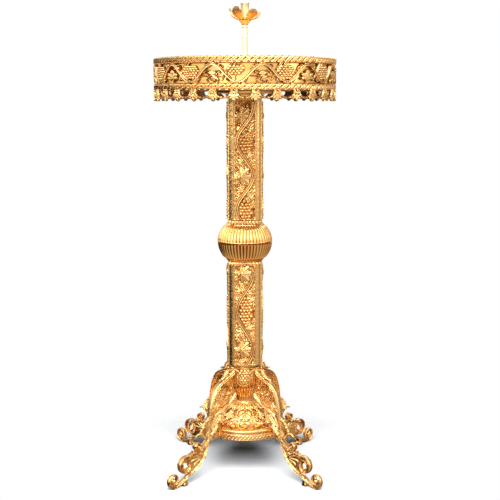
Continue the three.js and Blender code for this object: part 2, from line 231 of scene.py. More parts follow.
    def leaf_rope(self, low, high, pitch, height, base, lean=0.8):
        """A band of slanted leaves between two levels, edged with two fillets."""
        at = self.near((-1e9, low), (1e9, high))
        u, v = self.u[at], self.v[at]
        middle, half = (low + high) / 2, (high - low) / 2
        across = np.clip(np.abs(v - middle) / half, 0, 1)
        phase = (u - lean * (v - middle)) / pitch
        cell = phase - np.floor(phase)
        blade = np.sqrt(np.clip(1 - ((cell - 0.5) / 0.46) ** 2, 0, 1))
        blade = blade * np.sqrt(np.clip(1 - across**2.5, 0, 1))
        fold = 0.45 * np.exp(-(((cell - 0.5) / 0.09) ** 2)) * np.clip(1 - across**2, 0, 1)
        fillet = np.exp(-(((across - 0.9) / 0.1) ** 2))
        spot = np.hypot((cell - np.round(cell)) * pitch, (across - 0.45) * half)
        bead = 0.8 * np.sqrt(np.clip(1 - (spot / (0.17 * pitch)) ** 2, 0, 1))
        shape = np.maximum(np.maximum(blade - fold, 0.75 * fillet), bead)
        self.lay(at, half - np.abs(v - middle) + 0.2, base + (height - base) * shape)


def blurred(heights, reach, wrap=False):
    """Heights averaged over a square neighbourhood."""
    for axis in (0, 1):
        mode = "wrap" if wrap and axis == 1 else "edge"
        pad = [(reach + 1, reach) if a == axis else (0, 0) for a in (0, 1)]
        total = np.cumsum(np.pad(heights, pad, mode=mode), axis=axis)
        count = 2 * reach + 1
        ahead = np.take(total, range(count, total.shape[axis]), axis=axis)
        behind = np.take(total, range(0, total.shape[axis] - count), axis=axis)
        heights = (ahead - behind) / count
    return heights


def hollows(height, step, wrap=False):
    """How far each point lies below its near and its wider surroundings, in millimetres."""
    near = blurred(height, max(1, int(round(1.8 / step))), wrap) - height
    wide = blurred(height, max(2, int(round(6.0 / step))), wrap) - height
    return np.maximum(near, 0.55 * wide)


# ---------- meshes ----------

SHARP = math.radians(38)


def piece(name, shape, node_name, finish=None, body="stand", patina_and_shade=1.0):
    """A mesh from a shape in millimetres, which rides on a body and stands in for a frame node."""
    points, faces, recess = shape
    mesh = bpy.data.meshes.new(name)
    mesh.from_pydata((points * MM).tolist(), [], faces.tolist())
    # the recess attribute sets how strongly each point is darkened by patina and painted shade
    value = np.asarray(patina_and_shade * recess, np.float32)
    mesh.attributes.new("recess", "FLOAT", "POINT").data.foreach_set("value", value)
    mesh.polygons.foreach_set("use_smooth", np.ones(len(mesh.polygons), bool))
    mesh.update()
    mesh.set_sharp_from_angle(angle=SHARP)
    obj = bpy.data.objects.new(name, mesh)
    bpy.context.scene.collection.objects.link(obj)
    obj.data.materials.append(finish or cast_brass())
    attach(obj, body)
    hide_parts(node_name)


def largest_part(cells):
    """Keeps the cells that join up with the middle of the longest run, and fills corner-only contacts."""
    crossed = cells[:-1, :-1] & cells[1:, 1:] & ~cells[:-1, 1:] & ~cells[1:, :-1]
    cells[:-1, 1:] |= crossed
    crossed = cells[:-1, 1:] & cells[1:, :-1] & ~cells[:-1, :-1] & ~cells[1:, 1:]
    cells[:-1, :-1] |= crossed
    start = np.unravel_index(np.argmax(np.cumsum(cells, axis=0) * cells), cells.shape)
    found = np.zeros(cells.shape, bool)
    found[start] = True
    size = 0
    while found.sum() != size:
        size = found.sum()
        for _ in range(12):
            grown = found.copy()
            grown[1:] |= found[:-1]
            grown[:-1] |= found[1:]
            grown[:, 1:] |= found[:, :-1]
            grown[:, :-1] |= found[:, 1:]
            found = grown & cells
    return found


def casting(draw, u_span, v_span, step, place, back, rear_shade=None):
    """A carved plate as (points, faces, recess).

    draw(u, v) gives its Carving, place(u, v, h) puts a point of it in space, and back(h) is its rear surface.
    The rear is chased like the front, or is painted in shade of its own.
    """
    nu = int(round((u_span[1] - u_span[0]) / step)) + 1
    nv = int(round((v_span[1] - v_span[0]) / step)) + 1
    u, v = np.meshgrid(np.linspace(*u_span, nu), np.linspace(*v_span, nv), indexing="ij")
    metal = draw(u.ravel(), v.ravel()).metal.reshape(u.shape)
    cells = largest_part(metal[:-1, :-1] + metal[1:, :-1] + metal[:-1, 1:] + metal[1:, 1:] > 0)
    count = np.zeros(u.shape, int)
    for i in (0, 1):
        for j in (0, 1):
            count[i : nu - 1 + i, j : nv - 1 + j] += cells
    rim = (count > 0) & (count < 4)
    rim[0], rim[-1], rim[:, 0], rim[:, -1] = False, False, False, False
    slope_u, slope_v = np.gradient(metal, step, step)
    shift = -metal / np.maximum(slope_u**2 + slope_v**2, 0.25)
    u[rim] += np.clip(shift * slope_u, -0.7 * step, 0.7 * step)[rim]
    v[rim] += np.clip(shift * slope_v, -0.7 * step, 0.7 * step)[rim]
    height = draw(u.ravel(), v.ravel()).height.reshape(u.shape)
    used = count > 0
    floor = height[used].min()
    height = np.where(used, np.maximum(height, 0), np.maximum(floor, 0))
    recess = hollows(height, step)[used]
    index = np.full(u.shape, -1)
    index[used] = np.arange(used.sum())
    front = place(u[used], v[used], height[used])
    rear = place(u[used], v[used], back(height[used]))
    a, b, c, d = index[:-1, :-1], index[1:, :-1], index[1:, 1:], index[:-1, 1:]
    shift = used.sum()
    faces = [np.column_stack([k[cells] for k in (a, b, c, d)])]
    faces.append(np.column_stack([k[cells] + shift for k in (d, c, b, a)]))
    closed = np.pad(cells, 1)
    inner = closed[1:-1, 1:-1]
    for p, q, neighbour in (
        (a, b, closed[1:-1, :-2]),
        (b, c, closed[2:, 1:-1]),
        (c, d, closed[1:-1, 2:]),
        (d, a, closed[:-2, 1:-1]),
    ):
        edge = inner & ~neighbour
        faces.append(np.column_stack([p[edge] + shift, q[edge] + shift, q[edge], p[edge]]))
    rear_recess = recess if rear_shade is None else np.full(recess.shape, rear_shade)
    return np.vstack([front, rear]), np.vstack(faces), np.concatenate([recess, rear_recess])


def ring_grid(rows, count):
    """Quads that join rings of points, the last ring to the first."""
    i = np.arange(rows)[:, None]
    j = np.arange(count)[None, :]
    k, m = (i + 1) % rows, (j + 1) % count
    corners = (i * count + j, i * count + m, k * count + m, k * count + j)
    return np.column_stack([np.broadcast_to(x, (rows, count)).ravel() for x in corners])


def circle(count):
    """Points spaced evenly round a circle of radius 1."""
    turn = np.arange(count) * 2 * math.pi / count
    return np.column_stack([np.cos(turn), np.sin(turn)])


def turned(profile, outline, carve=None):
    """A closed (radius, height) profile swept round an outline, as (points, faces, recess).

    carve(turn, r, z, out) gives how far each point stands proud; out is 1 on surfaces that face outwards.
    """
    p = np.array(profile, float)
    if np.linalg.norm(p[0] - p[-1]) < 1e-6:
        p = p[:-1]
    ahead = np.roll(p, -1, 0) - np.roll(p, 1, 0)
    normal = np.column_stack([ahead[:, 1], -ahead[:, 0]])
    normal /= np.maximum(np.linalg.norm(normal, axis=1), 1e-9)[:, None]
    turn = np.arctan2(outline[:, 1], outline[:, 0])[None, :]
    r, z = p[:, :1], p[:, 1:]
    proud = np.zeros((len(p), len(outline)))
    if carve is not None:
        proud = proud + carve(turn, r, z, normal[:, :1])
    radius = r + proud * normal[:, :1]
    height = np.broadcast_to(z + proud * normal[:, 1:], radius.shape)
    points = np.stack([radius * outline[:, 0], radius * outline[:, 1], height], axis=-1)
    recess = hollows(proud, 1.2, wrap=True)
    return points.reshape(-1, 3), ring_grid(len(p), len(outline)), recess.ravel()


def sheet_metal(grid, thickness):
    """A sheet through a grid of points, given a thickness, as (points, faces)."""
    nu, nv = grid.shape[:2]
    du = np.gradient(grid, axis=0)
    dv = np.gradient(grid, axis=1)
    normal = np.cross(du, dv)
    normal /= np.maximum(np.linalg.norm(normal, axis=-1, keepdims=True), 1e-9)
    front = (grid + normal * thickness / 2).reshape(-1, 3)
    rear = (grid - normal * thickness / 2).reshape(-1, 3)
    index = np.arange(nu * nv).reshape(nu, nv)
    a, b, c, d = index[:-1, :-1], index[1:, :-1], index[1:, 1:], index[:-1, 1:]
    shift = nu * nv
    faces = [np.column_stack([k.ravel() for k in (a, b, c, d)])]
    faces.append(np.column_stack([k.ravel() + shift for k in (d, c, b, a)]))
    for p, q in (
        (index[:-1, 0], index[1:, 0]),
        (index[-1, :-1], index[-1, 1:]),
        (index[1:, -1], index[:-1, -1]),
        (index[0, 1:], index[0, :-1]),
    ):
        faces.append(np.column_stack([p + shift, q + shift, q, p]))
    return np.vstack([front, rear]), np.vstack(faces)


# ---------- finishes ----------


def node(tree, kind, inputs=None, **settings):
    """Adds a shader node, sets it up and fills its inputs with values or with other nodes' outputs."""
    made = tree.nodes.new(kind)
    for key, value in settings.items():
        setattr(made, key, value)
    for key, value in (inputs or {}).items():
        if isinstance(value, bpy.types.NodeSocket):
            tree.links.new(value, made.inputs[key])
        else:
            made.inputs[key].default_value = value
    return made


def ramped(tree, value, low, high, to_low=0.0, to_high=1.0):
    """A value eased from one range to another."""
    inputs = {"Value": value, "From Min": low, "From Max": high, "To Min": to_low, "To Max": to_high}
    return node(tree, "ShaderNodeMapRange", inputs, interpolation_type="SMOOTHSTEP").outputs[0]


def maths(tree, operation, a, b=0.0):
    """One sum on values or on other nodes' outputs."""
    return node(tree, "ShaderNodeMath", {0: a, 1: b}, operation=operation).outputs[0]


def mixed(tree, amount, a, b):
    """One colour mixed into another."""
    colour_a, colour_b, colour_out = 6, 7, 2
    inputs = {"Factor": amount, colour_a: a, colour_b: b}
    return node(tree, "ShaderNodeMix", inputs, data_type="RGBA").outputs[colour_out]


def metal_finish(name, colour, dark, roughness, lumps, spun=False, patina_and_shade_share=1.0, coat=0.08, metal=1.0,
                 rough_cast=0.15):
    """Metal that is bright on its raised surfaces and dark in its recesses: patina and painted shade in the
    hollows, painted shade from ambient occlusion where parts crowd it, and painted full shade on backs and
    undersides.
    """
    finish = bpy.data.materials.get(name)
    if finish:
        return finish
    finish = bpy.data.materials.new(name)
    finish.use_nodes = True
    tree = finish.node_tree
    shader = tree.nodes["Principled BSDF"]
    shader.inputs["Metallic"].default_value = metal
    shader.inputs["Coat Weight"].default_value = coat
    shader.inputs["Coat Roughness"].default_value = 0.12
    place = node(tree, "ShaderNodeTexCoord").outputs["Object"]
    hollow = node(tree, "ShaderNodeAttribute", attribute_name="recess").outputs["Fac"]
    # painted shade: an ambient-occlusion node darkens the metal where nearby parts crowd it
    shade = node(tree, "ShaderNodeAmbientOcclusion", {"Distance": 0.014}, samples=6).outputs["AO"]
    # the carved hollows darken with patina and painted shade
    carved = ramped(tree, hollow, 0.0, 1.5)
    deep = ramped(tree, shade, 0.1, 0.7, 1.0, 0.0)
    # noise that varies the strength of the patina and painted shade at random
    patina_and_shade = node(tree, "ShaderNodeTexNoise", {"Vector": place, "Scale": 90.0, "Detail": 4.0}).outputs[0]
    uneven = ramped(tree, patina_and_shade, 0.3, 0.6, 0.6, 1.0)
    soft = maths(tree, "MULTIPLY", maths(tree, "MAXIMUM", carved, deep), uneven)
    # painted full shade: backs and undersides marked with the highest recess value take the dark colour
    # almost fully
    full_shade = ramped(tree, hollow, FULL_SHADE - 2.0, FULL_SHADE, 0.0, 0.9)
    recess = maths(tree, "MAXIMUM", maths(tree, "MULTIPLY", soft, patina_and_shade_share), full_shade)
    tone = node(tree, "ShaderNodeTexNoise", {"Vector": place, "Scale": 22.0, "Detail": 3.0}).outputs[0]
    warm = tuple(c * k for c, k in zip(colour[:3], (0.93, 0.84, 0.7))) + (1.0,)
    bright = mixed(tree, ramped(tree, tone, 0.35, 0.7), tuple(colour[:3]) + (1.0,), warm)
    # the recess colour is mixed in as patina and painted shade
    tree.links.new(mixed(tree, recess, bright, tuple(dark[:3]) + (1.0,)), shader.inputs["Base Color"])
    if spun:
        split = node(tree, "ShaderNodeSeparateXYZ", {0: place})
        across, ahead = (maths(tree, "POWER", split.outputs[i], 2.0) for i in (0, 1))
        reach = maths(tree, "SQRT", maths(tree, "ADD", across, ahead))
        lines = node(tree, "ShaderNodeCombineXYZ", {0: reach, 1: split.outputs[2]}).outputs[0]
        fine = node(tree, "ShaderNodeTexNoise", {"Vector": lines, "Scale": 900.0, "Detail": 3.0}).outputs[0]
    else:
        fine = node(tree, "ShaderNodeTexNoise", {"Vector": place, "Scale": lumps, "Detail": 5.0}).outputs[0]
    rubbed = ramped(tree, fine, 0.3, 0.7, roughness * 0.75, roughness * 1.25)
    worn = maths(tree, "ADD", rubbed, maths(tree, "MULTIPLY", recess, 0.22))
    tree.links.new(worn, shader.inputs["Roughness"])
    bump = node(tree, "ShaderNodeBump", {"Height": fine, "Strength": rough_cast, "Distance": 0.001})
    tree.links.new(bump.outputs[0], shader.inputs["Normal"])
    return finish


def cast_brass():
    c = bpy.context.scene.candle_stand_colours
    return metal_finish("chased_cast_brass", c.cast, c.recess, c.cast_roughness, 220.0, patina_and_shade_share=0.72,
                        coat=0.25, rough_cast=0.5)


def polished_brass():
    c = bpy.context.scene.candle_stand_colours
    return metal_finish("burnished_brass", c.polished, c.recess, c.polished_roughness, 160.0, patina_and_shade_share=0.75)


def beaten_brass():
    c = bpy.context.scene.candle_stand_colours
    return metal_finish("beaten_brass", c.beaten, c.recess, 0.36, 420.0, patina_and_shade_share=0.6, coat=0.1, rough_cast=0.5)


def pale_brass():
    c = bpy.context.scene.candle_stand_colours
    return metal_finish("pale_lacquered_brass", c.pale, c.recess, 0.25, 160.0, patina_and_shade_share=0.5, coat=0.4,
                        metal=0.75)


def spun_brass():
    c = bpy.context.scene.candle_stand_colours
    return metal_finish("lathe_spun_brass", c.spun, c.recess, c.spun_roughness, 0.0, spun=True, patina_and_shade_share=0.4)


def zinc_steel():
    c = bpy.context.scene.candle_stand_colours
    # the dark colour is painted shade where nearby parts crowd the hardware
    return metal_finish("zinc_plated_steel", c.steel, (0.08, 0.075, 0.07), 0.38, 420.0, patina_and_shade_share=0.8)


# ---------- settings ----------


class CandleStandColours(PropertyGroup):
    """Colours and polish of the stand's metals."""

    cast: FloatVectorProperty(
        name="Cast brass", description="Colour of the chased castings", subtype="COLOR",
        default=(0.91, 0.575, 0.235), min=0.0, max=1.0,
    )
    polished: FloatVectorProperty(
        name="Polished brass", description="Colour of the knop, base cup and rod socket", subtype="COLOR",
        default=(0.93, 0.54, 0.19), min=0.0, max=1.0,
    )
    spun: FloatVectorProperty(
        name="Spun brass", description="Colour of the basin and the sand tray", subtype="COLOR",
        default=(0.96, 0.60, 0.20), min=0.0, max=1.0,
    )
    pale: FloatVectorProperty(
        name="Pale brass", description="Colour of the lacquered rod and candle cup", subtype="COLOR",
        default=(1.0, 0.84, 0.52), min=0.0, max=1.0,
    )
    beaten: FloatVectorProperty(
        name="Beaten brass", description="Colour of the drip pan and its calyx", subtype="COLOR",
        default=(0.90, 0.64, 0.33), min=0.0, max=1.0,
    )
    # the recess colour paints patina and shade into hollows and crowded spots, and full shade on backs and
    # undersides
    recess: FloatVectorProperty(
        name="Recesses", description="Colour left in the hollows of the carving", subtype="COLOR",
        default=(0.22, 0.085, 0.024), min=0.0, max=1.0,
    )
    steel: FloatVectorProperty(
        name="Hardware", description="Colour of the bolts, screws, nuts and the tie rod", subtype="COLOR",
        default=(0.52, 0.52, 0.50), min=0.0, max=1.0,
    )
    cast_roughness: FloatProperty(
        name="Cast roughness", description="Roughness of the castings", subtype="FACTOR",
        default=0.24, min=0.0, max=1.0,
    )
    polished_roughness: FloatProperty(
        name="Polished roughness", description="Roughness of the polished pieces", subtype="FACTOR",
        default=0.2, min=0.0, max=1.0,
    )
    spun_roughness: FloatProperty(
        name="Spun roughness", description="Roughness of the basin and the sand tray", subtype="FACTOR",
        default=0.26, min=0.0, max=1.0,
    )


class CandleStandSizes(PropertyGroup):
    """Sizes of the carving."""

    detail: FloatProperty(
        name="Carving step", description="Distance between the points of a carved surface",
        default=0.9 * MM, min=0.4 * MM, max=4 * MM, precision=5, subtype="DISTANCE", unit="LENGTH",
    )
    knop_flutes: IntProperty(
        name="Knop flutes", description="Flutes around the knop", default=48, min=8, max=96,
    )
    cup_flutes: IntProperty(
        name="Cup flutes", description="Flutes around the cup under the neck", default=20, min=8, max=48,
    )
    column_grape: FloatProperty(
        name="Column grape", description="Width of a grape on the column",
        default=9.0 * MM, min=3 * MM, max=12 * MM, precision=5, subtype="DISTANCE", unit="LENGTH",
    )
    gallery_grape: FloatProperty(
        name="Gallery grape", description="Width of a grape in the gallery",
        default=6 * MM, min=2 * MM, max=9 * MM, precision=5, subtype="DISTANCE", unit="LENGTH",
    )
    petal_width: FloatProperty(
        name="Petal width", description="Width of a petal of the drip pan",
        default=31 * MM, min=10 * MM, max=40 * MM, precision=5, subtype="DISTANCE", unit="LENGTH",
    )


def sizes():
    return bpy.context.scene.candle_stand_sizes


# ---------- legs ----------


def draw_leg(r, z):
    """One scroll leg, as half of its thickness over (radius, height)."""
    leg = Carving(r, z)
    half = 8.0
    neck = 41.2
    # webs of acanthus between the strokes
    leg.patch([(neck, 196), (neck, 258), (58, 256), (78, 240), (97, 229), (111, 212), (119, 184), (122, 160),
               (112, 158), (98, 166), (78, 177), (62, 184), (51, 193)], 2.0, 0.5, (118, 162), 44)
    leg.patch([(97.5, 97), (112, 96.5), (124, 90), (131, 110), (127, 140), (117, 146), (107, 143), (100, 151),
               (91, 156), (82, 153), (82, 143), (92, 131), (101.2, 125.5), (101.2, 114), (97.5, 113.5)],
              3.4, 0.9, (127, 112), 40)
    leg.patch([(127, 160), (136, 151), (147, 143), (154, 133), (158, 121), (150, 111), (141, 100),
               (133, 108)], 3.6, 1.1, (133, 112), 36)
    leg.patch([(140, 88), (158, 82), (176, 78), (200, 74), (222, 60), (222, 42), (204, 30), (184, 30),
               (164, 40), (148, 62)], 1.8, 0.4, (150, 70), 44)
    leg.patch([(neck, 246), (neck, 266), (58, 267), (67, 265), (73, 257), (79, 246), (60, 244)],
              3.4, 0.9, (50, 246), 30)
    leg.patch([(31, 176), (30.5, 192), (34, 200), (neck, 206), (50, 200), (60, 186), (50, 174), (38, 172)],
              3.0, 0.5, (40, 200), 30)
    # acanthus tongues in the shoulder, at the gusset and in the large scroll
    for point, size in ((158, 27), (132, 25), (110, 18)):
        leg.leaf((112, 166), size, point, 4.6, 1.2, 2, 26)
    leg.leaf((50, 204), 17, 50, 4.8, 1.4, 3, 36)
    leg.leaf((88, 140), 15, 118, 5.6, 1.6, 3, 40)
    leg.leaf((70, 250), 12, 140, 5.4, 1.6, 3, 44)
    for point, size in ((24, 40), (4, 38), (-18, 32)):
        leg.leaf((153, 60), size, point, 4.4, 1.0, 2, 20)
    # volute under the shoulder, its ball, and the brace
    hook = smooth_line([(109, 200), (103, 216), (92, 226)])
    leg.stem(np.vstack([hook, spiral((75, 211), 17.5, 9, 52, 0.66)]), 5.0, 7.6)
    leg.ball((68, 197), 6.2, 7.8)
    leg.ball((37, 195), 4.6, 7.2)
    brace = [(37, 198), (44, 190), (52, 184), (62, 178), (75, 172), (93, 165.5), (108, 156), (119, 143)]
    leg.stem(smooth_line(brace), 7.2, 7.0, 5.5, 0.3)
    leg.stem(smooth_line([(122, 110), (113, 118), (103, 127)]), 5, 6.4)
    leg.stem(spiral((92, 140), 9, 3.5, -20, -1.1), 4.6, 6.6)
    leg.ball((91, 140), 3.2, 6.8)
    # small curl, thorns and the crest
    curl = smooth_line([(137, 96), (146, 88), (156, 82)])
    leg.stem(np.vstack([curl, spiral((168, 91), 11, 4.5, 225, 1.2)]), 5.6, half)
    leg.ball((168, 91), 3.4, 7)
    leg.stem(spiral((61, 257), 8.5, 3, 250, 1.3), 5, 6.6)
    leg.stem([(76, 249), (83, 245), (92, 243.5)], 6, 5.6, 1.6, 0)
    leg.stem([(152, 117), (160, 120), (166, 119), (172, 115)], 7, 5.6, 2.0, 0)
    leg.ball((149, 134), 5.0, 6.6)
    leg.ball((138, 148), 4.0, 5.8)
    # large scroll
    rise = smooth_line([(141, 88), (158, 80), (176, 76), (190, 75)])
    leg.stem(np.vstack([rise, spiral((209, 51), 23.6, 10.4, 118, -1.35)]), 6.2, half, 4.4)
    # strap from the shoulder to the foot volute, with its inner bead
    strap = smooth_line([
        (42, 258), (58, 248), (76, 240), (95, 231), (108, 218), (116, 201), (121.5, 182), (125, 162),
        (127.5, 142), (129.5, 120), (133, 99), (138, 80), (147, 62), (159, 46), (174, 34), (190, 27),
        (206, 22), (222, 12),
    ])
    volute = spiral((247, 22.6), 18.6, 7, -110, 1.4, 48)
    leg.stem(np.vstack([strap, volute]), 9.4, half, 6.0, 0.5)
    leg.ball((248, 22), 5.8, 7.6)
    leg.patch([(205.5, -2), (218.5, -2), (219.5, 5), (217, 10), (219, 16), (205, 22), (207, 10), (204.5, 5)],
              half)
    # openings
    holes = (((208.5, 50), 7.2), ((83, 209), 2.6), ((84, 214), 2.6), ((100, 183), 2.4), ((113, 129), 2.6),
             ((189, 55), 1.8), ((240, 31), 1.6), ((161, 97), 1.6), ((146, 116), 2.0))
    for hole, radius in holes:
        leg.pierce(hole, radius)
    leg.metal = np.minimum(leg.metal, z + 0.001)
    leg.height += 0.25 * grain(r, z, 6.0)
    leg.height = np.clip(leg.height, 1.8, half) * (0.86 + 0.14 * np.clip(leg.metal / 1.6, 0, 1))
    return leg


class CANDLESTAND_OT_legs(Operator):
    """Cast the four scroll legs"""

    bl_idname = "candle_stand.legs"
    bl_label = "Scroll Legs"

    def execute(self, context):
        for i, corner in enumerate(CORNERS):
            turn = -math.pi / 4 + i * math.pi / 2
            cos, sin = math.cos(turn), math.sin(turn)

            def place(r, z, h):
                return np.column_stack([r * cos + h * sin, r * sin - h * cos, z])

            top = span("leg_" + corner)[1][2] + 6
            points, faces, recess = casting(
                draw_leg, (30, 272), (-1.0, top), sizes().detail / MM * 1.1, place, lambda h: -h
            )
            points[:, 2] = np.maximum(points[:, 2], 0.0)
            piece("scroll_leg_" + corner, (points, faces, recess), "leg_" + corner)
        return {"FINISHED"}


# ---------- base ----------


class CANDLESTAND_OT_base(Operator):
    """Turn and chase the base disc, the leafy skirt, the fluted cup and the grape collar"""

    bl_idname = "candle_stand.base"
    bl_label = "Base Castings"

    def execute(self, context):
        self.base_disc()
        self.bell_skirt()
        self.fluted_cup()
        self.grape_collar()
        return {"FINISHED"}

    def base_disc(self):
        low, high = span("base_disc")
        rim = 97.0
        bottom, top = low[2], high[2]
        bead = arc((rim + 0.4, bottom + 22.6), 3.6, 4.4, -1.45, 1.5, 12)
        outer = resampled([(rim, bottom), (rim, bottom + 17.4)], 0.8)
        profile = [*outer, *bead, (90, top), (60, top), (20, top), (6, top), (6, top - 6), (20, top - 6),
                   (60, top - 6), (89, top - 6), (93, top - 9), (93, top - 16), (93, bottom)]

        def carve(turn, r, z, out):
            band = (out > 0.9) & (z < bottom + 17) & (z > bottom + 1)
            sheet = Carving((turn * rim + 0 * z).ravel(), (z + 0 * turn).ravel(), 50.0)
            sheet.leaf_rope(bottom + 2, bottom + 16, 9.5, 2.4, 0.2)
            return np.where(band, sheet.height.reshape((len(z), turn.shape[1])), 0.0)

        piece("base_casting", turned(profile, circle(576), carve), "base_disc")

    def bell_skirt(self):
        low, high = span("bell_skirt")
        foot, top = low[2], high[2]
        slope = resampled([(84, foot), (80, foot + 2), (71, foot + 4.5), (62, foot + 10), (54, foot + 17),
                           (47, foot + 25), (40, foot + 32), (33, foot + 38.5), (27, foot + 43),
                           (22, foot + 47), (20, top)], 1.0, True)
        under = [(6, top), (6, top - 8), (14, top - 13), (26, top - 26), (44, top - 40), (62, foot),
                 (84, foot)]
        profile = np.vstack([slope, np.array(under)])
        length = 77.0

        def carve(turn, r, z, out):
            shape = np.broadcast(turn, r).shape
            down = np.broadcast_to((84 - r) / (84 - 20) * length, shape)
            sheet = Carving(np.broadcast_to(turn * 42, shape).ravel(), down.ravel(), 50.0)
            cell = 2 * math.pi * 42 / 16
            for k in range(-9, 10):
                at = k * cell
                long = k % 2 == 0
                sheet.leaf((at, 46 if long else 34), 22 if long else 17, -90, 4.2, 0.8, 3, 40)
                sheet.leaf((at, 21 if long else 15), 20 if long else 16, -90, 5.4, 0.8, 5, 38)
                sheet.leaf((at, 68), 20, -90, 3.6, 0.8, 3, 38)
                sheet.stem([(at, 74), (at, 4)], 2.4, 5.6 if long else 4.4, groove=0)
            proud = 1.3 * sheet.height.reshape(shape) * np.clip(r / 42, 0.4, 1)
            proud = proud + 0.4 * grain(turn * 60, down, 4.0)
            return np.where((out > 0.02) & (r > 20.2), np.maximum(proud, 0), 0.0)

        piece("leafy_skirt", turned(profile, circle(400), carve), "bell_skirt", patina_and_shade=1.7)

    def fluted_cup(self):
        low, high = span("fluted_cup")
        foot, top = low[2], high[2]
        side = resampled([(20, foot), (19.5, foot + 6), (21, foot + 16), (25, foot + 27), (28.5, foot + 35),
                          (29.5, top)], 1.2, True)
        profile = np.vstack([side, [(24, top), (6, top), (6, foot)]])
        flutes = sizes().cup_flutes

        def carve(turn, r, z, out):
            lobe = np.sqrt(np.abs(np.cos(flutes * turn / 2)))
            return np.where(out > 0.3, 2.4 * (lobe - 0.5) * np.clip(r / 26, 0.45, 1), 0.0)

        piece("fluted_base_cup", turned(profile, circle(flutes * 16), carve), "fluted_cup", polished_brass())

    def grape_collar(self):
        low, high = span("grape_collar")
        foot, top = low[2], high[2]
        side = resampled([(28, foot), (31, foot + 8), (36, foot + 22), (39.5, foot + 38), (40.5, foot + 50),
                          (41, top - 4)], 1.0, True)
        profile = np.vstack([side, [(41.4, top), (6, top), (6, foot)]])

        def carve(turn, r, z, out):
            shape = np.broadcast(turn, z).shape
            around = np.broadcast_to((turn + 2 * math.pi) % (math.pi / 2), shape)
            along = np.broadcast_to(z, shape)
            girth = 38.0
            sheet = Carving(((around - math.pi / 4) * girth).ravel(), along.ravel(), 50.0)
            middle = (foot + top) / 2
            for side_of in (-1, 1):
                edge = side_of * math.pi / 4 * girth
                sheet.grapes((edge, middle + 4), (2, 3, 4, 3, 4, 3, 2), 7.6, 6.6)
                for hand in (-1, 1):
                    sheet.leaf((edge + hand * 17, middle + 2), 20, -90 + hand * 14, 5.4, 1.0, 3, 34)
                    sheet.leaf((edge + hand * 12, foot + 20), 17, -90 + hand * 8, 5.0, 1.0, 3, 34)
                sheet.leaf((edge, top - 8), 18, 90, 5.0, 1.0, 5, 40)
            sheet.leaf((0, middle + 22), 26, -90, 4.6)
            sheet.leaf((0, middle - 12), 18, -90, 4.6)
            proud = sheet.height.reshape(shape) + 0.3 * grain(turn * girth, z, 3.0)
            return np.where((out > 0.3) & (z > foot + 2) & (z < top - 5), proud, 0.0)

        piece("grape_neck", turned(profile, circle(320), carve), "grape_collar", patina_and_shade=1.2)


# ---------- column ----------


def column_outline():
    """The column's section in millimetres: square, with a round moulding at each corner."""
    face, half = 38.0, 28.6
    degree = math.radians(1)
    corner = arc((face - 0.6, half + 0.4), 2.0, 1.6, -60 * degree, 60 * degree, 7)
    corner += arc((27.4, 27.4), 11.4, 11.4, 5 * degree, 85 * degree, 13)
    corner += arc((half + 0.4, face - 0.6), 1.6, 2.0, 30 * degree, 150 * degree, 7)
    corner += [(half * k, face) for k in (0.6, 0.2, -0.2, -0.6)]
    quarter = np.array(corner)
    turns = [quarter]
    for _ in range(3):
        quarter = np.column_stack([-quarter[:, 1], quarter[:, 0]])
        turns.append(quarter)
    return np.vstack(turns)


class CANDLESTAND_OT_column(Operator):
    """Cast the two lengths of the column, its collars and the head that carries the basin"""

    bl_idname = "candle_stand.column"
    bl_label = "Column"

    def execute(self, context):
        for part in ("lower", "upper"):
            low, high = span(part + "_column_core")
            levels = np.arange(low[2], high[2], 3.0)
            outer = [(1.0, z) for z in [*levels, high[2]]]
            profile = outer + [(0.9, high[2]), (0.9, low[2])]

            def carve(turn, r, z, out):
                return np.where(out > 0.5, 0.005 * grain(turn * 30, z, 9.0), 0.0)

            piece(part + "_column", turned(profile, column_outline(), carve), part + "_column_core")
        for part in ("lower", "upper"):
            self.collar(part)
        self.head()
        return {"FINISHED"}

    def collar(self, part):
        node_name = f"knop_{part}_collar"
        low, high = span(node_name)
        middle, half = (low[2] + high[2]) / 2, (high[2] - low[2]) / 2
        bead = arc((1.0, middle), 0.075, half, -1.57, 1.57, 13)
        profile = bead + [(0.62, high[2]), (0.62, low[2])]

        def carve(turn, r, z, out):
            lobes = np.abs(np.cos(18 * turn)) ** 0.7 * (0.7 + 0.3 * np.cos((z - middle) * 1.6))
            return np.where(out > 0.1, 0.07 * lobes * out, 0.0)

        piece(f"{part}_leaf_collar", turned(profile, rounded_outline(), carve), node_name, patina_and_shade=30)

    def head(self):
        low, high = span("column_head")
        foot, top, rim = low[2], high[2], high[0]
        flare = resampled([(44, foot), (47, foot + 2), (50, foot + 6), (60, foot + 8), (rim - 2, foot + 9),
                           (rim, foot + 11)], 2.0, True)
        profile = [(6, foot), *flare, (rim, top), (6, top)]
        piece("column_head_flange", turned(profile, circle(96)), "column_head")


def rounded_outline():
    """A square with well rounded corners, in millimetres, that follows the column's section."""
    turn = np.arange(224) * 2 * math.pi / 224
    blunt = (np.abs(np.cos(turn)) ** 5 + np.abs(np.sin(turn)) ** 5) ** (-1 / 5)
    return np.column_stack([np.cos(turn), np.sin(turn)]) * (blunt * 38.5)[:, None]


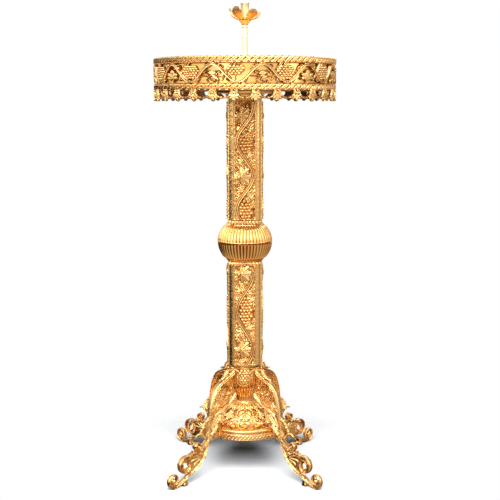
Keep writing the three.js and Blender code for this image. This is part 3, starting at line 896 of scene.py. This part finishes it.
def draw_panel(part, wide, low, high, half_period):
    """The vine on one face of the column."""
    upper = part == "upper"
    sway = wide - 6.4
    centres = (26, 110, 194, 257) if upper else (42, 140, 237)
    kinds = ("grapes", "leaf", "grapes", "leaf") if upper else ("leaf", "grapes", "leaf")
    rows = (2, 3, 4, 3, 4, 3, 2) if upper else (2, 3, 4, 3, 4, 3, 4, 3, 2, 1)
    first_side = -1 if upper else 1

    def vine(level):
        return sway * first_side * np.cos(math.pi * (level - low - centres[0]) / half_period)

    def draw(u, v):
        sheet = Carving(u, v, np.minimum(wide - np.abs(u), np.minimum(v - low, high - v)))
        grape = sizes().column_grape / MM
        # ribbed foliage follows the vine and fills the ground
        lean = (vine(v + 0.5) - vine(v - 0.5)) ** 2
        off = (u - vine(v)) / np.sqrt(1 + lean) + 1.6 * grain(u, v, 11.0)
        ribs = np.sqrt(np.abs(np.cos(math.pi * off / 5.4)))
        slip = np.floor(off / 5.4 + 0.5) * 1.3
        notch = np.sqrt(np.abs(np.cos(math.pi * (v + 0.9 * np.abs(off)) / 12.5 + slip)))
        sheet.height = 0.4 + 3.4 * ribs * (0.25 + 0.75 * notch)
        levels = np.linspace(low - 8, high - 14, 90)
        for k, (up, kind) in enumerate(zip(centres, kinds)):
            side = first_side * (-1) ** k
            middle = low + up
            crossing = middle - half_period / 2
            for hand in (-1, 1):
                root = (hand * 3 - side * 2, crossing - hand * side * 3)
                sheet.leaf(root, 19, 90 - hand * 78 - 14 * side, 5.8, 0.8, 3, 30)
                root = (-hand * side * 10, crossing + hand * 13)
                sheet.leaf(root, 13, 90 * hand - 30 * side, 5.2, 0.8, 3, 36)
            if kind == "grapes":
                sheet.ball((2.0, middle), 19, 2.4, 0.2)
                sheet.grapes((1.5 - side, middle - 2), rows, grape, 9.2, 0.4)
                head = middle + len(rows) * grape * 0.43
                sheet.stem(spiral((-2, head + 3), 7, 2.4, -60, 1.2), 3.6, 6.4)
                sheet.ball((-2, head + 3), 2.6, 6.8)
                tail = [(-side * 21.5, middle + 4), (-side * 21, middle - 13), (-side * 12, middle - 31),
                        (0, middle - 41)]
                sheet.stem(smooth_line(tail), 5.6, 6.8, 3.4, flat=12)
                sheet.leaf((side * 12, middle + 27), 13, 90 - side * 30, 5.6, 1.0, 3, 40)
                sheet.leaf((-side * 15, middle + 26), 13, 90 + side * 30, 5.6, 1.0, 3, 40)
            else:
                facing = 0 if side > 0 else 180
                sheet.leaf((-side * 10, middle), 31, facing, 7.8, 0.8, 5, 41, 3)
                sheet.leaf((-side * 13, middle + 1), 14, 180 - facing, 5.4, 1.2, 3)
                stalk = [(-side * 22, middle + 24), (-side * 18, middle + 12), (-side * 10, middle)]
                sheet.stem(smooth_line(stalk), 4.0, 7.0)
                sheet.stem(spiral((-side * 19, middle - 21), 6, 2, 90, 1.2), 3.4, 5.8)
        line = np.column_stack([vine(levels), levels])
        sheet.trench(line, 9.4, 2.2)
        sheet.stem(line, 8.4, 7.4, groove=0.42, flat=14)
        if upper:
            sheet.stem(spiral((5, high - 22), 14, 3, 250, 1.6), 5.0, 6.4)
            sheet.ball((5, high - 22), 3.6, 7.0)
            sheet.leaf((-14, high - 20), 13, 120, 5.4, 1.0, 3)
        for edge in (-1, 1):
            sheet.stem([(edge * (wide - 1.3), low - 9), (edge * (wide - 1.3), high + 9)], 2.6, 4.0, groove=0)
        for level in (low + 1.2, high - 1.2):
            sheet.stem([(-wide - 9, level), (wide + 9, level)], 2.4, 4.4, groove=0)
        return sheet

    return draw


class CANDLESTAND_OT_panels(Operator):
    """Chase the vine panels on the column's faces"""

    bl_idname = "candle_stand.panels"
    bl_label = "Vine Panels"

    def execute(self, context):
        step = sizes().detail / MM
        for part, upright in (("lower", 97.0), ("upper", 84.0)):
            low, high = span(part + "_panel_front")
            wide = high[0]
            back = -high[1]
            draw = draw_panel(part, wide, low[2], high[2], upright)
            for i, side in enumerate(QUARTERS):
                turn = -math.pi / 2 + i * math.pi / 2
                cos, sin = math.cos(turn), math.sin(turn)

                def place(u, v, h):
                    out = back + h
                    return np.column_stack([out * cos - u * sin, out * sin + u * cos, v])

                shape = casting(draw, (-wide, wide), (low[2], high[2]), step, place, lambda h: h * 0)
                piece(f"{part}_vine_panel_{side}", shape, f"{part}_panel_{side}", patina_and_shade=0.75)
        return {"FINISHED"}


# ---------- knop ----------


class CANDLESTAND_OT_knop(Operator):
    """Turn the two fluted shells of the knop"""

    bl_idname = "candle_stand.knop"
    bl_label = "Knop Shells"

    def execute(self, context):
        flutes = sizes().knop_flutes
        for part, up in (("lower", -1), ("upper", 1)):
            name = f"knop_{part}_shell"
            low, high = span(name)
            radius = high[0]
            seam = low[2] if up > 0 else high[2]
            tall = high[2] - low[2]
            end = math.acos(46 / radius)

            def shell(inset, steps):
                a = np.linspace(0, end, steps)
                z = seam + up * tall * np.sin(a) / math.sin(end) * (1 if inset == 0 else 0.93)
                return np.column_stack([(radius - inset) * np.cos(a), z])

            outer = shell(0, 34)
            lip = np.array([(radius - 5, seam), (radius - 3, seam + up * 0.9),
                            (radius - 0.3, seam + up * 1.9)])
            inner = shell(4, 12)[::-1]
            profile = np.vstack([lip, outer[1:], [(24, outer[-1, 1])], [(24, inner[0, 1])], inner])
            if up < 0:
                profile = profile[::-1]

            def carve(turn, r, z, out):
                rise = np.abs(z - seam) / tall
                lobe = np.abs(np.cos(flutes * turn / 2))
                wide = 0.42 if up > 0 else 0.7
                groove = -2.9 * (1 - lobe**wide) * (1 - 0.3 * rise) * np.clip((rise - 0.02) / 0.05, 0, 1)
                dimple = -2.4 * np.exp(-(((rise - 0.92) / 0.06) ** 2)) * lobe**2
                bead = 0.7 * np.exp(-(((rise - 0.015) / 0.02) ** 2))
                wobble = 0.25 * grain(turn * 40, z, 14.0)
                return np.where((out > 0.15) & (r > 45), groove + dimple + bead + wobble, 0.0)

            # the lower shell, facing down, gets more painted shade in its flutes than the upper one
            shell_patina_and_shade = 1.8 if up > 0 else 3.0
            piece(f"{part}_knop", turned(profile, circle(flutes * 12), carve), name, polished_brass(),
                  patina_and_shade=shell_patina_and_shade)
        return {"FINISHED"}


# ---------- gallery ----------


def draw_gallery(u, v):
    """One quarter of the gallery, unrolled: vine between two leaf ropes, over a hanging fringe."""
    low, high = span("gallery_front")
    sheet = Carving(u, v)
    length = math.pi / 2 * high[0]
    foot, top = low[2], high[2]
    rail_low, rail_high, top_rail = foot + 26, foot + 41, top - 15.5
    sheet.leaf_rope(rail_low, rail_high, 12.2, 6.2, 1.6)
    sheet.leaf_rope(top_rail, top + 1.5, 11.6, 6.8, 1.6)
    draw_gallery_vine(sheet, length, rail_high, top_rail)
    draw_fringe(sheet, length, foot, rail_low)
    sheet.metal = np.minimum(sheet.metal, np.minimum(top + 0.001 - v, v - foot + 1.0))
    sheet.height = np.maximum(sheet.height, 1.2) * (0.72 + 0.28 * np.clip(sheet.metal / 1.3, 0, 1))
    return sheet


def draw_gallery_vine(sheet, length, floor, roof):
    """The vine of the gallery: it swings between the rails, round grapes, flowers and leaves in turn."""
    cell = length / 6
    shift = cell * 0.2
    middle = (floor + roof) / 2
    sway = (roof - floor) / 2 - 3.4
    line = np.linspace(-length / 2 - 4, length / 2 + 4, 170)
    vine = middle - sway * np.cos(math.pi * (line + length / 2 - cell / 2 - shift) / cell)
    for k, motif in enumerate(("leaf", "grapes", "flower", "curl", "flower", "grapes", "leaf")):
        at = -length / 2 + cell * (k - 0.5) + shift
        arch = -1 if k % 2 else 1
        heart = middle - arch * 3
        near, far = (floor, roof) if arch > 0 else (roof, floor)
        cross = at + cell / 2
        # a ribbed sheath leaf where the vine crosses, and a curl on each side of it
        slant = -arch
        blade = [(cross - slant * 11, far - arch * 1), (cross - slant * 3, middle + arch * 4),
                 (cross + slant * 5, near + arch * 7)]
        sheet.stem(smooth_line(blade), 6.5, 5.0, 3.0, 0.6)
        for hand in (-1, 1):
            curl = (cross + hand * 7.5, middle - hand * arch * 14.5)
            sheet.stem(spiral(curl, 5.2, 2.4, 90 * hand, arch * 0.95, 20), 2.8, 5.0)
            sheet.ball(curl, 1.7, 4.8)
        if motif == "grapes":
            sheet.grapes((at, middle + 1), (4, 5, 6, 5, 6, 5), sizes().gallery_grape / MM, 7.2, 1.6)
            sheet.stem([(at - 6, roof - 7), (at - 2, roof + 1)], 3.0, 4.4, groove=0)
        elif motif == "flower":
            for hand in (-1, 1):
                bloom = spiral((at + hand * 6.5, heart + arch * 3), 6.4, 3.2, 90 - hand * 90, hand * 0.85, 22)
                sheet.stem(bloom, 3.4, 6.4)
                drop = [(at + hand * 4, heart - arch * 5), (at + hand * 10, heart - arch * 11),
                        (at + hand * 7, near)]
                sheet.stem(smooth_line(drop), 2.8, 4.4)
            sheet.leaf((at, heart - arch * 4), 13, 90 * arch, 6.2, 1.6, 3, 34)
            bar = [(at - cell * 0.44, heart - arch * 4), (at + cell * 0.42, heart - arch * 5)]
            sheet.stem(bar, 3.4, 5.2, 2.6)
            sheet.leaf((at + 3, heart - arch * 6), 12, -90 * arch, 5.4, 1.6, 3, 40)
        elif motif == "curl":
            sheet.grapes((at - 3, heart + 3), (4, 5, 4, 3), sizes().gallery_grape / MM, 6.8, 1.6)
            hook = [(at - 6, roof - 6), (at + 3, roof - 4), (at + 10, roof - 9), (at + 11, heart + 4),
                    (at + 6, heart - 2)]
            sheet.stem(smooth_line(hook), 4.2, 5.4, 3.2)
            sheet.ball((at - 5, floor + 9), 3.2, 6.4)
            sheet.stem([(at - 5, floor + 9), (at - 1, heart)], 2.6, 4.2, groove=0)
        else:
            sheet.leaf((at, heart - arch * 9), 20, 90 * arch, 6.6, 1.6, 5, 44)
            sheet.stem([(at, heart - arch * 7), (at, near)], 3.6, 5.0)
    sheet.stem(np.column_stack([line, vine]), 6.6, 7.2, groove=0.4, flat=12)
    for level in (floor + 0.6, roof - 0.6):
        sheet.stem([(-length, level), (length, level)], 1.8, 4.4, groove=0)


def draw_fringe(sheet, length, foot, rail):
    """Vine leaves that hang from knots, with a garland from each to the next."""
    pitch = length / 7
    for k in range(8):
        leaf_at = pitch * (k - 3.5)
        swag = leaf_at + pitch / 2
        dip = [(swag - 14.5, foot + 26), (swag - 12, foot + 17), (swag - 6.5, foot + 10.4),
               (swag, foot + 8.4)]
        line = dip + [(2 * swag - x, y) for x, y in dip[2::-1]]
        sheet.stem(smooth_line(line), 4.6, 6.4, groove=0.35, flat=10)
        sheet.leaf((leaf_at, foot + 12.5), 12.6, -90, 6.6, 1.6, 5, 50)
        for hand in (-1, 1):
            for level in (22.0, 17.8):
                fold = [(leaf_at + hand * 1.5, foot + level), (leaf_at + hand * 6, foot + level + 1)]
                sheet.stem(fold, 4.0, 5.8, groove=0.5)
        sheet.patch([(leaf_at - 4.5, rail + 1), (leaf_at - 4.5, foot + 18), (leaf_at - 6, foot + 12),
                     (leaf_at + 6, foot + 12), (leaf_at + 4.5, foot + 18), (leaf_at + 4.5, rail + 1)], 2.0)
        sheet.ball((leaf_at, foot + 19.5), 2.8, 6.8)


class CANDLESTAND_OT_gallery(Operator):
    """Cast the four openwork quarters of the gallery"""

    bl_idname = "candle_stand.gallery"
    bl_label = "Gallery"

    def execute(self, context):
        low, high = span("gallery_front")
        outer = span("gallery_right")[1][0]
        rear = 217.5
        plate = 1.6
        joint = 0.5
        length = math.pi / 2 * high[0]
        for i, side in enumerate(QUARTERS):
            middle = -math.pi / 2 + i * math.pi / 2

            def place(u, v, h):
                turn = middle + u / length * math.pi / 2
                reach = np.minimum(rear + plate + h, outer)
                return np.column_stack([reach * np.cos(turn), reach * np.sin(turn), v])

            edge = length / 2 * (1 - joint / (math.pi / 2 * outer))
            levels = (low[2] - 0.5, high[2])
            step = sizes().detail / MM
            # the gallery's back is painted in full shade
            shape = casting(draw_gallery, (-edge, edge), levels, step, place, lambda h: h * 0 - plate, FULL_SHADE)
            piece(f"openwork_{side}", shape, f"gallery_{side}")
        return {"FINISHED"}


# ---------- basin and sand tray ----------


class CANDLESTAND_OT_basin(Operator):
    """Spin the basin and the lift-out sand tray"""

    bl_idname = "candle_stand.basin"
    bl_label = "Basin and Sand Tray"

    def execute(self, context):
        low, high = span("basin")
        foot, rim_z, rim = low[2], high[2], high[0]
        floor = foot + 3
        inner = rim - 2.5
        profile = [(6, foot), (60, foot), (120, foot), (180, foot), (rim - 4, foot), (rim - 1.2, foot + 1),
                   (rim, foot + 4), *[(rim, z) for z in np.linspace(foot + 12, rim_z - 4, 8)],
                   (rim, rim_z - 1), (rim - 1.2, rim_z), (inner, rim_z - 0.6), (inner, rim_z - 8),
                   (inner, floor + 10), (inner, floor + 2), (inner - 2, floor), (160, floor), (80, floor),
                   (6, floor)]
        points, faces, _ = turned(profile, circle(192))
        # painted shade on the basin's underside
        underside = FULL_SHADE * (points[:, 2] < foot + 2)
        piece("spun_basin", (points, faces, underside), "basin", spun_brass())
        self.sand_tray()
        return {"FINISHED"}

    def sand_tray(self):
        low, high = span("sand_tray")
        foot, top, rim = low[2], high[2], high[0]
        wall = 206.0
        floor = foot + 2
        roll = arc((rim - 1.1, top - 1.0), 1.1, 1.0, -1.57, 1.57, 7)
        radii = (194, 152, 148, 105, 62, 58, 40, 20, 0)
        steps = [(r, floor + 0.7 * (1 if 60 < r < 150 else 0)) for r in radii]
        profile = [(0, foot), (60, foot), (140, foot), (wall - 5, foot), (wall - 1.4, foot + 1.4),
                   (wall, foot + 5), (wall, top - 12), (wall, top - 2), *roll, (wall + 2, top),
                   (wall - 0.8, top - 0.4), (wall - 2, top - 2), (wall - 2, top - 20),
                   (wall - 2, floor + 6), (wall - 3.4, floor + 1.8), (wall - 7, floor), *steps]
        piece("spun_sand_tray", turned(profile, circle(192)), "sand_tray", spun_brass(), "tray")


# ---------- candle holder ----------


class CANDLESTAND_OT_holder(Operator):
    """Turn the socket, the rod and the cup, and beat out the petalled drip pan"""

    bl_idname = "candle_stand.holder"
    bl_label = "Candle Holder"

    def execute(self, context):
        self.socket()
        self.rod()
        self.calyx()
        self.drip_pan()
        self.cup()
        return {"FINISHED"}

    def socket(self):
        low, high = span("rod_socket")
        foot, top, rim = low[2], high[2], high[0]
        foot_curve = [(20, foot + 3.6), (14, foot + 5), (11.5, foot + 8), (10.6, foot + 14)]
        profile = [(0, foot), (rim - 1, foot), (rim, foot + 1), (rim, foot + 2.2), (rim - 1, foot + 3),
                   *resampled(foot_curve, 1.0, True),
                   (10.5, top - 4), (11.6, top - 3.4), (11.9, top - 2), (11.6, top - 0.6), (10.6, top),
                   (6.8, top), (6.3, top - 0.6), (6.3, foot + 4), (0, foot + 4)]
        shape = turned(profile, circle(64))
        piece("turned_rod_socket", shape, "rod_socket", polished_brass(), "tray")

    def rod(self):
        low, high = span("candle_rod")
        foot, radius = low[2], high[0]
        neck = span("calyx")[0][2] - 0.3
        body = [(radius, z) for z in np.linspace(foot + 1, neck - 8, 12)]
        knot = [(radius + 1.6 * math.sin(a), neck - 7 + 5 * a / math.pi) for a in np.linspace(0, math.pi, 7)]
        profile = [(0, foot), (radius - 1, foot), *body, *knot, (radius, neck - 1), (radius, neck),
                   (3, neck), (3, high[2]), (0, high[2])]
        shape = turned(profile, circle(40))
        piece("turned_candle_rod", shape, "candle_rod", pale_brass(), "candle_holder")

    def calyx(self):
        low, high = span("calyx")
        foot, top = low[2], high[2]
        side = resampled([(6.2, foot), (7, foot + 2), (9.5, foot + 6), (13, foot + 10), (15, top)], 0.7, True)
        profile = np.vstack([side, [(12, top), (3.3, top), (3.3, foot)]])

        def carve(turn, r, z, out):
            return np.where(out > 0.2, 1.1 * (np.abs(np.cos(5 * turn)) ** 0.6 - 0.4), 0.0)

        piece("leaf_calyx", turned(profile, circle(120), carve), "calyx", beaten_brass(), "candle_holder")

    def drip_pan(self):
        low, high = span("drip_pan")
        foot = low[2]
        reach = high[0] + 0.6
        half = sizes().petal_width / MM / 2
        parts, quads, hollow = [], [], []
        count = 0
        tips = ((18, 20, 2), (90, 24, -2), (162, 28, 3), (234, 30, 2), (306, 24, -3))
        for azimuth, rise, twist in tips:
            across, along = np.meshgrid(np.linspace(-1, 1, 27), np.linspace(0, 1, 36), indexing="ij")
            rounded = np.sqrt(np.clip(1 - ((along - 0.62) / 0.39) ** 2, 0.0, 1))
            waist = 0.42 + 0.58 * np.clip(along / 0.62, 0, 1) ** 1.2
            width = half * np.where(along > 0.62, rounded, waist)
            span_out = reach - 8.5 - 0.08 * rise
            r = 8 + span_out * np.sin(along * 1.35) / math.sin(1.35)
            x = across * width + twist * along
            cup = 0.26 * half * across**2 * np.sin(np.pi * np.clip(along, 0, 0.95))
            z = foot + 0.8 + rise * along**2.3 + cup + 0.8 * grain(x, r, 2.2)
            turn = math.radians(azimuth)
            cos, sin = math.cos(turn), math.sin(turn)
            grid = np.stack([r * cos - x * sin, r * sin + x * cos, z], axis=-1)
            points, faces = sheet_metal(grid, 1.5)
            parts.append(points)
            quads.append(faces + count)
            # the hammer dents darken with patina and painted shade
            pits = np.tile((1.6 * np.clip(-grain(x, r, 2.2), 0, 1)).ravel(), 2)
            hollow.append(pits)
            count += len(points)
        hub = [(3.3, foot), (13, foot), (15, foot + 0.8), (14.6, foot + 2.2), (12, foot + 2.4),
               (3.3, foot + 2.2)]
        points, faces, recess = turned(hub, circle(60))
        parts.append(points)
        quads.append(faces + count)
        hollow.append(recess)
        shape = np.vstack(parts), np.vstack(quads), np.concatenate(hollow)
        piece("petal_drip_pan", shape, "drip_pan", beaten_brass(), "candle_holder")

    def cup(self):
        low, high = span("candle_cup")
        foot, top, radius = low[2], high[2], high[0]
        bore = 8.3
        floor = 1150.0
        profile = [(3.3, foot), (7.5, foot), (9.5, foot + 1), (radius, foot + 3), (radius, foot + 12),
                   (radius, top - 5), (radius + 0.7, top - 4), (radius + 0.9, top - 2),
                   (radius + 0.6, top - 0.5), (radius - 0.3, top), (bore + 0.4, top), (bore, top - 0.8),
                   (bore, top - 10), (bore, floor + 0.8), (bore - 0.8, floor),
                   (0, floor), (0, foot + 7), (3.3, foot + 7)]
        shape = turned(profile, circle(56))
        piece("turned_candle_cup", shape, "candle_cup", pale_brass(), "candle_holder")


class CANDLESTAND_OT_hardware(Operator):
    """Give the bolts, screws, nuts, washers and the tie rod their steel finish"""

    bl_idname = "candle_stand.hardware"
    bl_label = "Hardware"

    def execute(self, context):
        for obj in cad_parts.values():
            if not obj.hide_render:
                obj.data.materials.clear()
                obj.data.materials.append(zinc_steel())
        return {"FINISHED"}


# ---------- stage ----------


def world_light():
    """A studio for the metal to mirror, dark on the left and below, and plain white behind the stand."""
    world = bpy.data.worlds.new("studio")
    bpy.context.scene.world = world
    world.cycles_visibility.diffuse = False
    world.use_nodes = True
    tree = world.node_tree
    tree.nodes.clear()
    facing = node(tree, "ShaderNodeTexCoord").outputs["Generated"]
    split = node(tree, "ShaderNodeSeparateXYZ", {0: facing})
    side, ahead, up = split.outputs
    sky = ramped(tree, up, -0.45, 0.2, 0.72, 1.6)
    dim = ramped(tree, up, -0.03, 0.04, 0.02, 1.4)
    flag = ramped(tree, side, -0.85, -0.25, dim, 1.0)
    right = ramped(tree, side, 0.2, 0.9, 1.0, 0.6)
    behind = ramped(tree, ahead, -0.2, 0.6, 1.0, 0.55)
    strength = maths(tree, "MULTIPLY", maths(tree, "MULTIPLY", sky, flag),
                     maths(tree, "MULTIPLY", right, behind))
    tint = mixed(tree, ramped(tree, strength, 0.15, 1.1), (1.0, 0.72, 0.45, 1.0), (1.0, 0.99, 0.96, 1.0))
    rays = node(tree, "ShaderNodeLightPath")
    # the metal throws no studio light on to the floor
    direct = ramped(tree, rays.outputs["Diffuse Depth"], 0.0, 1.0, 1.0, 0.0)
    power = maths(tree, "MULTIPLY", strength, direct)
    studio = node(tree, "ShaderNodeBackground", {"Color": tint, "Strength": power})
    backdrop = node(tree, "ShaderNodeBackground", {"Color": (1, 1, 1, 1), "Strength": 1.0})
    inputs = {0: rays.outputs["Is Camera Ray"], 1: studio.outputs[0], 2: backdrop.outputs[0]}
    both = node(tree, "ShaderNodeMixShader", inputs)
    node(tree, "ShaderNodeOutputWorld", {0: both.outputs[0]})


def softbox(name, place, aim, size, power, for_metal=True):
    """A rectangular area light, in metres, that lights either the metal or the floor."""
    light = bpy.data.lights.new(name, "AREA")
    light.shape = "RECTANGLE"
    light.size, light.size_y = size
    light.energy = power
    obj = bpy.data.objects.new(name, light)
    bpy.context.scene.collection.objects.link(obj)
    obj.location = place
    direction = np.array(aim, float) - np.array(place, float)
    pitch = math.atan2(math.hypot(direction[0], direction[1]), -direction[2])
    obj.rotation_euler = (pitch, 0, math.atan2(-direction[0], direction[1]))
    obj.visible_diffuse = not for_metal
    obj.visible_glossy = for_metal


def white_floor():
    """A pale round floor that fades out at its edge."""
    count = 96
    points = [(0, 0, 0)]
    rings = (0.2, 0.35, 0.5)
    for r in rings:
        points += [(r * x, r * y, 0) for x, y in circle(count)]
    faces = [(0, 1 + j, 1 + (j + 1) % count) for j in range(count)]
    for i in range(len(rings) - 1):
        for j in range(count):
            a, b = 1 + i * count + j, 1 + i * count + (j + 1) % count
            faces.append((a, a + count, b + count, b))
    mesh = bpy.data.meshes.new("floor")
    mesh.from_pydata(points, [], faces)
    floor = bpy.data.objects.new("floor", mesh)
    bpy.context.scene.collection.objects.link(floor)
    finish = bpy.data.materials.new("pale_floor")
    finish.use_nodes = True
    tree = finish.node_tree
    tree.nodes.clear()
    place = node(tree, "ShaderNodeTexCoord").outputs["Object"]
    away = node(tree, "ShaderNodeVectorMath", {0: place}, operation="LENGTH").outputs["Value"]
    fade = ramped(tree, away, 0.27, 0.48)
    paint = node(tree, "ShaderNodeBsdfDiffuse", {"Color": (0.85, 0.86, 0.88, 1)})
    clear = node(tree, "ShaderNodeBsdfTransparent")
    shown = node(tree, "ShaderNodeMixShader", {0: fade, 1: paint.outputs[0], 2: clear.outputs[0]})
    node(tree, "ShaderNodeOutputMaterial", {0: shown.outputs[0]})
    mesh.materials.append(finish)
    floor.visible_glossy = False


def camera():
    """The camera stands in front, a little above the middle, and looks slightly down."""
    sensor, focal = 36.0, 72.504
    lens = bpy.data.cameras.new("camera")
    lens.sensor_width = sensor
    lens.lens = focal
    lens.shift_x = 0.0102
    lens.clip_end = 50
    view = bpy.data.objects.new("camera", lens)
    bpy.context.scene.collection.objects.link(view)
    view.location = (0, -2.526, 0.9513)
    view.rotation_euler = (math.radians(90 - 8.652), 0, 0)
    bpy.context.scene.camera = view


class CANDLESTAND_OT_stage(Operator):
    """Set up the floor, the studio lights and the camera"""

    bl_idname = "candle_stand.stage"
    bl_label = "Stage"

    def execute(self, context):
        world_light()
        white_floor()
        softbox("key", (-0.9, -2.6, 2.0), (0, 0, 0.6), (0.9, 1.4), 38)
        softbox("top", (0.2, -0.9, 2.9), (0, 0, 0.5), (1.4, 1.0), 32)
        softbox("side", (2.2, -1.2, 1.5), (0, 0, 0.7), (0.5, 1.6), 8)
        softbox("rim", (0.9, 2.2, 2.3), (0, 0, 0.9), (0.9, 0.9), 16)
        softbox("floor_light", (0.0, -2.2, 2.1), (0, 0.1, 0.0), (3.3, 2.0), 192, False)
        softbox("floor_fill", (0.0, -1.2, 2.5), (0, 0.0, 0.0), (2.0, 2.0), 44, False)
        context.scene.view_settings.view_transform = "Standard"
        camera()
        return {"FINISHED"}


# ---------- panel and registration ----------

OPERATORS = (
    CANDLESTAND_OT_legs,
    CANDLESTAND_OT_base,
    CANDLESTAND_OT_column,
    CANDLESTAND_OT_panels,
    CANDLESTAND_OT_knop,
    CANDLESTAND_OT_gallery,
    CANDLESTAND_OT_basin,
    CANDLESTAND_OT_holder,
    CANDLESTAND_OT_hardware,
    CANDLESTAND_OT_stage,
)


class CANDLESTAND_PT_pieces(Panel):
    """The stand's settings and one button for each group of pieces"""

    bl_label = "Candle Stand"
    bl_idname = "CANDLESTAND_PT_pieces"
    bl_space_type = "VIEW_3D"
    bl_region_type = "UI"
    bl_category = "Candle Stand"

    def draw(self, context):
        for settings in (context.scene.candle_stand_colours, context.scene.candle_stand_sizes):
            box = self.layout.box()
            for key in settings.__annotations__:
                box.prop(settings, key)
        for operator in OPERATORS:
            self.layout.operator(operator.bl_idname)


CLASSES = (CandleStandColours, CandleStandSizes, *OPERATORS, CANDLESTAND_PT_pieces)


def register():
    for cls in CLASSES:
        bpy.utils.register_class(cls)
    bpy.types.Scene.candle_stand_colours = PointerProperty(type=CandleStandColours)
    bpy.types.Scene.candle_stand_sizes = PointerProperty(type=CandleStandSizes)


def unregister():
    del bpy.types.Scene.candle_stand_sizes
    del bpy.types.Scene.candle_stand_colours
    for cls in reversed(CLASSES):
        bpy.utils.unregister_class(cls)


def main():
    register()
    for operator in OPERATORS:
        area, name = operator.bl_idname.split(".")
        getattr(getattr(bpy.ops, area), name)()


if __name__ == "__main__":
    main()
